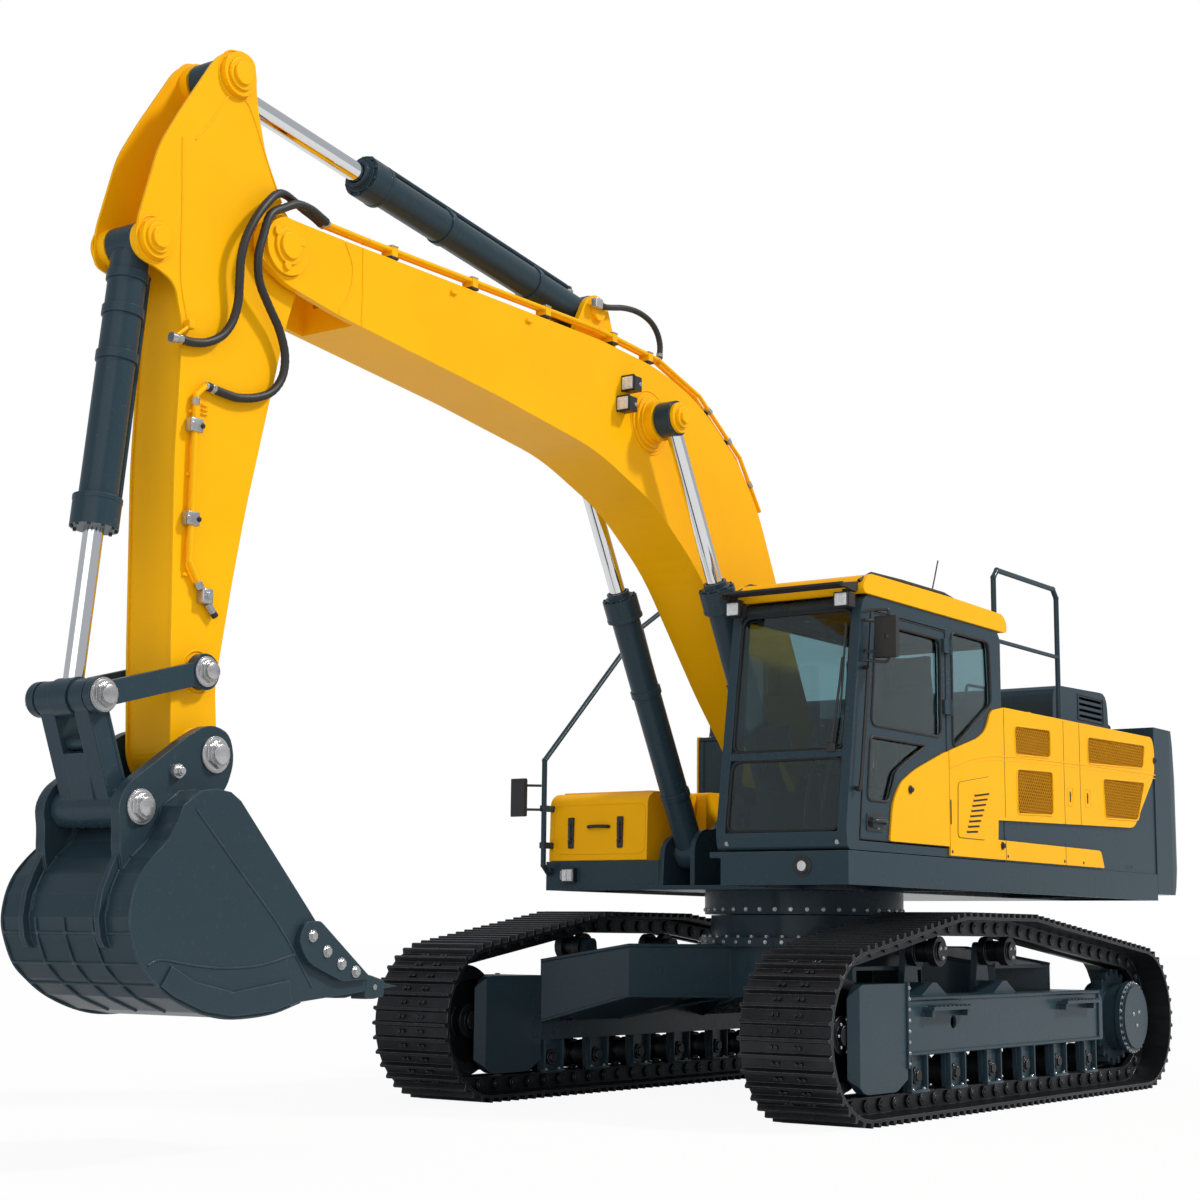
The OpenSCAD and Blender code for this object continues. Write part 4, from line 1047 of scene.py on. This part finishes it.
# cab: seals, handle, wiper, lamps, roof
cabTrim = {
    "doorWindow": [(800, 2360), (1756, 2360), (1676, 3000), (800, 3000)],
    "doorLower": [(1540, 1900), (1815, 1900), (1766, 2290), (1010, 2290), (1240, 2190), (1440, 2090)],
    "doorEdge": [(724, 1662), (1912, 1662), (1741, 3058), (724, 3058)],
    "rearWindow": [(30, 2640), (630, 2300), (630, 3070), (60, 3070)],
    "rightWindow": [(60, 2000), (1840, 2000), (1735, 3070), (60, 3070)],
    "bezel": [(1612, 1712), (1838, 1712), (1820, 1826), (1612, 1826)],
    "handle": [(1640, 1488, 1766), (1650, 1522, 1772), (1720, 1532, 1776), (1790, 1522, 1772),
               (1800, 1488, 1766)],
    "grabRail": [(1968, 1484, 1960), (1974, 1524, 1980), (1930, 1530, 2300), (1880, 1530, 2640),
                 (1862, 1522, 2690), (1854, 1486, 2700)],
    "mirrorTop": [(1862, 1488, 3040), (1830, 1540, 3052), (1790, 1600, 3056), (1772, 1620, 3040),
                  (1771, 1620, 2900)],
    "mirrorLow": [(1880, 1488, 2742), (1850, 1540, 2736), (1790, 1600, 2732), (1772, 1616, 2750),
                  (1771, 1618, 2800)],
    "wiper": ((1340, 2215), (1350, 2300), (1372, 2600), (1380, 2760)),
    "roofBar": ((1860, 3236), (1700, 3304), (1300, 3314), (700, 3316), (560, 3298)),
    "antenna": ((372, 3306), (340, 3385), (286, 3506), (233, 3631)),
    "lamps": (640, 1410),
}


def screen(z, out=0.0):  # x of the windscreen's outer face
    low, high = Vector((2054, 1704)), Vector((1850, 3068))
    return low.x + (high.x - low.x) * (z - low.y) / (high.y - low.y) + out


def lampEyes(shape, x, y, z, dy, dz, r):  # four small lenses of a lamp
    for u in (-dy, dy):
        for w in (-dz, dz):
            shape.ball((x, y + u, z + w), r, (.5, 1, 1))


def makeCab(c):
    seals, doorSeals, trim, doorTrim, steel, lenses, lock = (Shape() for k in range(7))
    doorRims = (("doorWindow", 60, 1479, 11), ("doorLower", 45, 1479, 10), ("doorEdge", 30, 1480.5, 5))
    for name, cut, y, r in doorRims:
        doorSeals.tube(atSide(rounded(c[name], cut), y), r, 8, closed=True)
    for name, y in (("rearWindow", 1479), ("rightWindow", 571)):
        seals.tube(atSide(rounded(c[name], 60), y), 11, 8, closed=True)
    for z0, z1 in ((1706, 2146), (2199, 3066)):  # windscreen panes
        pane = rounded(oblong(636, z0, 1414, z1), 70)
        seals.tube([(screen(z, 3), y, z) for y, z in pane], 11, 8, closed=True)
    seals.tube([(x, y, 3291) for x, y in rounded(oblong(520, 760, 1280, 1290), 40)], 12, 8, closed=True)
    seals.tube([(-131, y, z) for y, z in rounded(oblong(660, 2300, 1390, 3060), 50)], 11, 8, closed=True)
    # door handle in its bezel, and the lock
    doorTrim.plate(rounded(c["bezel"], 26), 1478, 1487)
    doorTrim.tube(curve(c["handle"], 24), 13, 14)
    lock.rod((1690, 1486, 1740), (1690, 1492, 1740), 15, 20)
    lock.done("doorLock", "door", bareSteel, steelSlot)
    trim.tube(curve(c["grabRail"], 40), 13, 14)  # on the front post
    # wiper: arm and blade in front of the upper pane
    trim.tube(curve([(screen(z, 30), y, z) for y, z in c["wiper"]], 16), 8, 10)
    blade = [(screen(z, 18), 1384, z) for z in (2420, 2600, 2800, 2980)]
    trim.tube(curve(blade, 16), 7, 8)
    trim.box((screen(2210) - 4, 1310, 2180), (screen(2210) + 36, 1370, 2236), 8)
    for y in c["lamps"]:  # roof lamps
        trim.box((1984, y - 52, 3060), (2000, y + 52, 3154), 10)
        lenses.box((1992, y - 42, 3068), (2004, y + 42, 3146), 8)
        lampEyes(lenses, 2003, y, 3107, 20, 18, 14)
        trim.box((1880, y - 12, 3150), (1960, y + 12, 3176), 4)
        steel.bolt((2064, y, 1640), (1, 0, 0), 12, 8)
    # antenna, roof bars and their feet
    trim.rod((372, 1200, 3286), (372, 1200, 3310), 34, 24, 24)
    trim.tube(atSide(c["antenna"], 1200), 5, 8)
    for y in (590, 1462):
        trim.tube(atSide(c["roofBar"], y), 11, 10)
        for x in (1650, 1150, 680):
            trim.box((x - 18, y - 14, 3284), (x + 18, y + 14, 3312), 4)
    # arms of the mirror
    trim.tube(curve(c["mirrorTop"], 30), 10, 12)
    trim.ball((1771, 1610, 2890), 26)
    trim.tube(curve(c["mirrorLow"], 30), 9, 12)
    seals.done("cabSeals", "house", sealRubberAndPaintedShade, "trim_plastic")
    doorSeals.done("doorSeals", "door", sealRubberAndPaintedShade, "trim_plastic")
    trim.done("cabTrim", "house", blackPlastic, "trim_plastic", bevel=1.5)
    doorTrim.done("doorHandle", "door", blackPlastic, "trim_plastic", bevel=2)
    steel.done("cabBolts", "house", bareSteel, steelSlot)
    lenses.done("roofLenses", "house", lampLens, "lamp_lens")


makeCab(cabTrim)

# inside of the cab
inside = {
    "fill": .7,
    "consoles": ((664, 786), (1262, 1376)),
    "console": [(440, 1650), (1080, 1650), (1180, 1980), (1150, 2120), (1000, 2140), (440, 2080)],
    "stem": ((1080, 2128), (1088, 2190), (1096, 2240)),
    "grip": ((1094, 2236), (1098, 2270), (1100, 2310), (1094, 2345)),
    "lever": ((1660, 1650), (1640, 1900), (1560, 2120), (1500, 2220)),
}


def cushion(name, low, high, lean=0.0, channels=3, along=0):  # crowned pad with sewn channels
    crown = .22
    bm = bmesh.new()
    bmesh.ops.create_cube(bm, size=1)
    bmesh.ops.subdivide_edges(bm, edges=bm.edges[:], cuts=11, use_grid_fill=True)
    size = Vector(high) - Vector(low)
    for v in bm.verts:
        x, y, z = (2 * c for c in v.co)  # -1 to 1
        pull = 1 - .06 * (1 - abs(y)) * (abs(x) > .99) - .05 * (1 - abs(x)) * (abs(y) > .99)
        swell = (1 - x * x) * (1 - y * y)
        rim = max(abs(x), abs(y)) ** 8
        z = z * (1 - .45 * rim) + (crown * swell if z > 0 else 0)
        groove = [x, y][along]
        if z > .3 and channels:
            t = ((groove * .5 + .5) * channels) % 1
            z -= .12 * math.exp(-((min(t, 1 - t)) / .07) ** 2) * (abs(groove) < .9)
        v.co = Vector((x * pull * size.x / 2, y * pull * size.y / 2, z * size.z / 2))
    if lean:
        bmesh.ops.rotate(bm, cent=(0, 0, 0), matrix=Matrix.Rotation(lean, 3, "Y"), verts=bm.verts)
    middle = (Vector(low) + Vector(high)) / 2
    for v in bm.verts:
        v.co = at(*(v.co + middle))
    sharpen(bm, 180)
    piece = newPiece(bm, name, seatCloth)
    fine = piece.modifiers.new("smooth", "SUBSURF")
    fine.levels = fine.render_levels = 1
    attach(piece, "house")
    return piece


def makeInside(c):
    seat = cushion("seatCushion", (430, 810, 1900), (970, 1240, 2030), channels=3, along=1)
    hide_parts("operator_station")
    # the back rest lies down as a pad, then leans up
    cushion("seatBack", (70, 812, 2330), (790, 1238, 2460), lean=-1.5, channels=4, along=0)
    cushion("headRest", (215, 880, 2800), (435, 1170, 2910), lean=-1.48, channels=2, along=0)
    for side, y0, y1 in (("Left", 1262, 1330), ("Right", 720, 788)):
        cushion("armRest" + side, (500, y0, 2190), (880, y1, 2250), channels=0)
    hard, grip, glow, steel = Shape(), Shape(), Shape(), Shape()
    hard.box((420, 820, 1640), (900, 1230, 1720), 20)
    for z in (1740, 1770, 1800, 1830, 1860):  # bellows of the seat base
        hard.box((450, 850, z), (880, 1200, z + 24), 10)
    hard.box((410, 830, 1880), (960, 1220, 1905), 8)
    for y0, y1 in c["consoles"]:
        hard.plate(rounded(c["console"], 50), y0, y1)
        middle = (y0 + y1) / 2
        grip.tube(sideCurve(c["stem"], middle, 10), 10, 10)
        grip.ball((1088, middle, 2160), 36, (1, 1, .8))
        grip.tube(sideCurve(c["grip"], middle, 12), 24, 14)
        grip.ball((1094, middle, 2348), 27)
        for k in range(4):
            glow.box((880 + k * 34, middle - 22, 2134), (902 + k * 34, middle + 22, 2142), 3)
        hard.tube([(520, middle, 2060), (540, middle, 2150), (560, middle, 2192)], 22, 12)
    # travel levers and pedals
    for y in (960, 1080):
        grip.tube(sideCurve(c["lever"], y, 20), 11, 10)
        grip.ball((1496, y, 2228), 26)
        hard.box((1600, y - 48, 1660), (1780, y + 48, 1684), 8, Matrix.Rotation(-.35, 3, "Y"))
        for k in range(5):
            grip.box((1640 + k * 28, y - 44, 1690 + k * 10), (1652 + k * 28, y + 44, 1700 + k * 10), 2)
    # monitor on its stalk at the front right post
    hard.tube(curve([(1700, 650, 2050), (1690, 690, 2160), (1660, 720, 2230)], 14), 14, 12)
    hard.box((1630, 640, 2220), (1670, 860, 2390), 12, Matrix.Rotation(.12, 3, "Y"))
    glow.box((1624, 656, 2240), (1634, 844, 2374), 4, Matrix.Rotation(.12, 3, "Y"))
    # box behind the seat, floor mat, buckle, posts of the head rest
    hard.box((-60, 640, 1650), (230, 1410, 2240), 30)
    hard.box((250, 640, 1630), (1960, 1410, 1644), 4)
    for k in range(18):
        grip.box((1000 + k * 50, 820, 1643), (1020 + k * 50, 1380, 1650), 2)
    steel.rod((390, 1262, 1960), (420, 1262, 2020), 14, 12)
    for dx in (-30, 30):
        steel.rod((290 + dx * .2, 1025 + dx * 2, 2700), (265 + dx * .2, 1025 + dx * 2, 2830), 9, 12)
    hard.done("cabFurniture", "house", cabinPlastic, "trim_plastic", bevel=3)
    grip.done("cabLevers", "house", blackPlastic, "trim_plastic", bevel=1)
    glow.done("cabScreens", "house", screenGlass, "trim_plastic")
    steel.done("cabSteel", "house", bareSteel, steelSlot)


makeInside(inside)
print("cab dressed")

# boom: lamps, pipe clamps, welds
boomTrim = {
    "lamps": ((2585, 4485), (2635, 4345)),
    "pipes": (158, 198),
    "clamps": ((2300, 4740), (2700, 4770), (3400, 4766), (4100, 4756), (4800, 4746)),
    "backClamps": ((1060, 4125), (1330, 4378), (1580, 4535)),
    "headSeam": [(5240, 4290), (5160, 4420), (5140, 4560), (5200, 4680)],
    "headBead": [(5060, 4262), (5056, 4450), (5062, 4688)],
    "cleats": ((1480, 3420), (1900, 4060), (4300, 4640), (3600, 4650)),
}


def makeBoom(b):
    dark, steel, welds, lenses = Shape(), Shape(), Shape(), Shape()
    for side in (1, -1):
        for x, z in b["lamps"]:
            y = side * 263
            dark.box((x + 40, y - 52, z - 52), (x + 50, y + 52, z + 52), 8)
            lenses.box((x + 46, y - 40, z - 40), (x + 53, y + 40, z + 40), 6)
            lampEyes(lenses, x + 52, y, z, 19, 19, 13)
            for k in range(5):  # cooling fins at the back
                dark.box((x - 52, y - 42, z - 40 + k * 18), (x - 40, y + 42, z - 34 + k * 18), 2)
            dark.box((x - 20, side * 214, z - 10), (x + 20, y, z + 10), 4)
            steel.bolt((x - 30, y + side * 45, z), (0, side, 0), 9, 8)
        for x, z in b["clamps"]:
            dark.box((x - 30, side * 175 - 42, z - 46), (x + 30, side * 175 + 42, z - 30), 4)
            steel.box((x - 27, side * 175 - 43, z + 22), (x + 27, side * 175 + 43, z + 31), 4)
            steel.bolt((x, side * 178, z + 30), (0, 0, 1), 9, 9)
        for x, z in b["backClamps"]:  # clamps on the back of the boom
            out = Vector((-.72, .69)) if x < 1500 else Vector((-.45, .89))
            dx, dz = 20 * out.y, -20 * out.x
            for y in b["pipes"]:
                steel.rod((x - dx, side * y, z - dz), (x + dx, side * y, z + dz), 19, 14)
            foot = Vector((x, z)) - out * 74
            dark.rod((x, side * 178, z), (foot.x, side * 178, foot.y), 15, 12)
        for y in b["pipes"]:  # nuts of the pipe ends
            steel.rod((5316, side * y, 4749), (5346, side * y, 4754), 20, 6)
        welds.tube(sideCurve(b["headSeam"], side * 216, 24), 5, 8)
        welds.tube(sideCurve(b["headBead"], side * 216.5, 12), 4.5, 8)
        for pin, spread, y in (("boomEye", 205, 216), ("foot", 176, 216), ("tip", 158, 217)):
            welds.tube(atSide(ring(pins[pin], spread, 40), side * y), 6, 8, closed=True)
        for x, z in b["cleats"]:
            welds.box((x - 24, side * 215, z - 10), (x + 24, side * 232, z + 10), 4)
    for y in b["pipes"]:  # ends that carry the hoses, bent outward
        steel.tube([(5334, y + 10, 4751), (5384, y + 26, 4760), (5432, y + 28, 4768)], 15, 16)
        steel.rod((5404, y + 27, 4763), (5428, y + 28, 4767), 20, 6)
    steel.rod((2150, 180, 4738), (2150, 180, 4802), 17, 16)
    steel.rod((2150, 180, 4776), (2150, 180, 4798), 24, 6)
    steel.box((2818, 158, 4925), (2890, 205, 4985), 8)
    dark.done("boomFittings", "boom", blackPlastic, "trim_plastic", bevel=1.5)
    steel.done("boomClamps", "boom", bareSteel, steelSlot, bevel=1)
    welds.done("boomWelds", "boom", yellowPaint, "yellow_paint", 60)
    lenses.done("boomLenses", "boom", lampLens, "lamp_lens")


makeBoom(boomTrim)

# stick: ridges, cleats, clamps and valve
stickTrim = {
    "ridge": [(6325, 4914), (6308, 4560), (6297, 4212), (6236, 3982)],
    "pocket": [(6239, 4929), (6146, 5049), (6052, 5196), (5986, 5252), (5899, 5236), (5842, 5163),
               (5735, 4965), (5628, 4784)],
    "eyes": (("idlerPin", 104, 6), ("hook", 128, 6), ("cylBase", 112, 5), ("armEye", 126, 5)),
    "cleats": ((6196, 3560), (6196, 3250), (6196, 2760)),
}


def makeStick(t):
    rim, dark, steel = Shape(), Shape(), Shape()
    for side in (1, -1):
        y, pipeY = side * 154, side * 180
        rim.tube(sideCurve(t["ridge"], y, 24), 6, 8)
        rim.tube(sideCurve(t["pocket"], y, 40), 5, 8)
        for pin, spread, r in t["eyes"]:
            rim.tube(atSide(ring(pins[pin], spread, 36), y), r, 8, closed=True)
        for x, z in t["cleats"]:
            rim.box((x - 16, y - side, z - 9), (x + 16, y + side * 14, z + 9), 4)
        for k in range(3):  # small lugs by the pipe
            rim.box((6090, y - side, 3560 + k * 22), (6130, y + side * 10, 3568 + k * 22), 2)
        for z in (3460, 3000):
            steel.box((6150, side * 156, z - 4), (6230, side * 202, z + 64), 6)
            dark.bolt((6158, side * 200, z + 30), (0, side, 0), 10, 10)
            steel.bolt((6222, side * 200, z + 30), (0, side, 0), 10, 10)
        steel.rod((6190, pipeY, 3626), (6190, pipeY, 3590), 21, 6)
        # shut-off valve at the pipe's foot
        steel.rod((6132, pipeY, 2732), (6110, pipeY, 2701), 22, 6)
        steel.box((6044, y, 2630), (6112, side * 206, 2706), 10)
        steel.rod((6060, pipeY, 2634), (6024, pipeY, 2596), 20, 6)
        dark.rod((6024, pipeY, 2596), (6006, pipeY, 2578), 18, 14)
        steel.rod((6080, side * 202, 2670), (6080, side * 220, 2670), 16, 16)
    # ends that carry the hoses, the upper one on a bracket
    steel.rod((6064, 180, 3694), (6134, 180, 3701), 19, 16)
    steel.rod((6070, 180, 3695), (6096, 180, 3697), 25, 6)
    steel.rod((6298, 186, 3890), (6372, 184, 3887), 19, 16)
    steel.rod((6304, 186, 3890), (6330, 185, 3889), 25, 6)
    steel.rod((6344, 185, 3888), (6372, 184, 3887), 26, 16)
    rim.box((6228, 153, 3958), (6266, 196, 4002), 5)
    rim.rod((6250, 178, 3972), (6352, 182, 3890), 10, 12)
    rim.done("stickRims", "arm", yellowPaint, "yellow_paint", 60)
    dark.done("stickBolts", "arm", blackPlastic, "trim_plastic")
    steel.done("stickClamps", "arm", bareSteel, steelSlot, bevel=1.5)


makeStick(stickTrim)

# bucket: welds, wear plates, bolts, tooth caps
bucketTrim = {
    "sideWeld": [(6320, 1627), (6071, 1395), (5743, 1091), (5514, 813)],
    "shell": [(5592, 745), (5790, 696), (6046, 680), (6234, 707), (6418, 775), (6540, 854), (6619, 927),
              (6677, 1046), (6694, 1131), (6677, 1237), (6636, 1324), (6569, 1400), (6480, 1480),
              (6430, 1560)],
    "edge": [(6577, 923), (6498, 947), (6300, 922), (6118, 909), (5880, 919), (5642, 969)],
    "cheek": [(6500, 830), (6420, 783), (6234, 715), (6046, 688), (5792, 704), (5660, 736), (5680, 850),
              (6050, 800), (6300, 850), (6440, 920)],
    "ear": [(6050, 1690), (6102, 1712), (6197, 1720), (6290, 1706), (6392, 1640), (6424, 1556), (6474, 1484),
            (6569, 1404)],
    "rib": ((6630, 1342), (6668, 1262), (6686, 1160)),
    "bands": (1062, 926, 833),
    "cutterBolts": ((5240, 886), (5345, 925), (5450, 985), (5555, 1058)),
    "cap": [(5128, 750), (5128, 866), (5096, 868), (4990, 842), (4990, 762), (5060, 750)],
    "capTop": [(5240, 846), (5240, 862), (5120, 872), (5120, 856)],
    "shroud": [(5034, 794), (5034, 812), (5060, 850), (5170, 862), (5170, 846), (5060, 806)],
    "toothPitch": 192,
    "keeper": (6318, 1806),
    "wall": 430,
}


def shellAt(z):  # x of the bucket's back at a height
    points = bucketTrim["shell"]
    pairs = zip(points[3:11], points[4:11])
    (x0, z0), (x1, z1) = next(pair for pair in pairs if pair[0][1] <= z <= pair[1][1])
    return x0 + (x1 - x0) * (z - z0) / (z1 - z0)


def makeBucket(b):
    welds, steel, caps, plates = Shape(), Shape(), Shape(), Shape()
    for side in (1, -1):
        y = side * b["wall"]
        welds.tube(sideCurve(b["sideWeld"], y, 30), 6, 8)
        welds.tube(sideCurve(b["edge"], y, 30), 6, 8)
        welds.tube(sideCurve(b["shell"], y - side * 3, 60), 7, 8)
        plates.plate(b["cheek"], *sorted((y - side * 2, y + side * 14)))  # wear plate at the heel
        for x, z in b["cutterBolts"]:
            steel.bolt((x, side * 463, z), (0, side, 0), 21, 18)
        for out in (228, 276):  # ribs from the ears down the back
            welds.tube(atSide(b["rib"], side * out), 6, 8)
        for out in (286, 224):
            welds.tube(sideCurve(b["ear"], side * out, 30), 8, 8)
        for name, r in (("hook", 84), ("bucketPin", 82)):
            x, z = pins[name]
            plates.rod((x, side * 283, z), (x, side * 291, z), r, 40)
        # keeper bolt between the pins
        x, z = b["keeper"]
        steel.rod((x, side * 284, z), (x, side * 300, z), 34, 28)
        steel.bolt((x, side * 300, z), (0, side, 0), 24, 26)
        steel.rod((x, side * 326, z), (x, side * 336, z), 15, 18)
    for z in b["bands"]:  # weld lines across the back
        x = shellAt(z) + 2
        welds.tube([(x, -424, z), (x, 424, z)], 7, 8)
    for k in (-1, 0, 1):
        line = [(x + 3, z) for x, z in b["shell"][3:9]]
        welds.tube(sideCurve(line, k * b["toothPitch"], 30), 7, 8)
    for k in range(-2, 3):  # caps on the edge, held by a pin
        y = k * b["toothPitch"]
        caps.plate(b["cap"], y - 50, y + 50)
        caps.plate(b["capTop"], y - 40, y + 40)
        for s in (-1, 1):
            steel.rod((5062, y + s * 50, 808), (5062, y + s * 55, 808), 14, 16)
    for y in (-290, -96, 96, 290):  # lip shrouds between the teeth
        caps.plate(b["shroud"], y - 42, y + 42)
    welds.done("bucketWelds", "bucket", bucketPaint, "bucket_paint", 60)
    steel.done("bucketBolts", "bucket", bareSteel, steelSlot)
    caps.done("toothCaps", "bucket", bucketPaint, "bucket_paint", bevel=5)
    plates.done("bucketWear", "bucket", bucketPaint, "bucket_paint", bevel=3)


makeBucket(bucketTrim)

# links: collars and cross tubes
linkTrim = {"collars": (("idlerPin", 70), ("linkPin", 66)), "tubes": (215, 300), "flange": 50}


def makeLinks(c):
    arms, link = Shape(), Shape()
    for side in (1, -1):
        for pin, r in c["collars"]:
            x, z = pins[pin]
            arms.rod((x, side * 213, z), (x, side * 216.5, z), r, 40)
    arms.done("idlerCollars", "idler_links", slatePaint, "dark_paint", bevel=2)
    a, b = Vector(pins["linkPin"]), Vector(pins["bucketPin"])
    run = (b - a).normalized()
    for side in (1, -1):
        for p, y, r in ((a, 160, 70), (b, 215, 78)):
            link.rod((p.x, side * (y - 4), p.y), (p.x, side * (y + 4), p.y), r, 40)
        for n in (-c["flange"], c["flange"]):  # flanges along each bar
            off = Vector((-run.y, run.x)) * n
            p, q = a + run * 105 + off, b - run * 115 + off
            link.rod((p.x, side * 157, p.y), (q.x, side * 157, q.y), 9, 10)
    for t in c["tubes"]:
        p = a + run * t
        link.rod((p.x, -80, p.y), (p.x, 80, p.y), 34, 24)
    link.done("linkTubes", "h_link", slatePaint, "dark_paint", bevel=2)


makeLinks(linkTrim)
print("boom, stick and bucket dressed")

# car body: flanges on the legs, bolts of the lower covers
legTrim = {
    "runs": ((620, 160, 1165, 700), (1165, 700, 1500, 1198), (40, 500, 560, 1198)),
    "edges": ((1010, 1012, .226, 13), (672, 672, .354, 11)),  # level, start of the slope, fall, radius
    "bend": 700,
}


def makeLegs(c):
    rim, steel = Shape(), Shape()
    for s in (-1, 1):
        for x0, y0, x1, y1 in c["runs"]:
            for level, slope, fall, r in c["edges"]:
                z0, z1 = (level if y <= c["bend"] else slope - (y - c["bend"]) * fall for y in (y0, y1))
                rim.rod((s * x0, y0, z0), (s * x1, y1, z1), r, 10)
    rim.done("legRims", "undercarriage", slatePaint, "dark_paint", mirrored=True)
    for s in (-1, 1):  # covers under the middle
        for x, y in ring((s * 320, 0), 120, 6):
            steel.bolt((x, y, 669), (0, 0, -1), 11, 9)
    steel.done("bellyBolts", "undercarriage", bareSteel, steelSlot)


makeLegs(legTrim)
print("car body dressed")
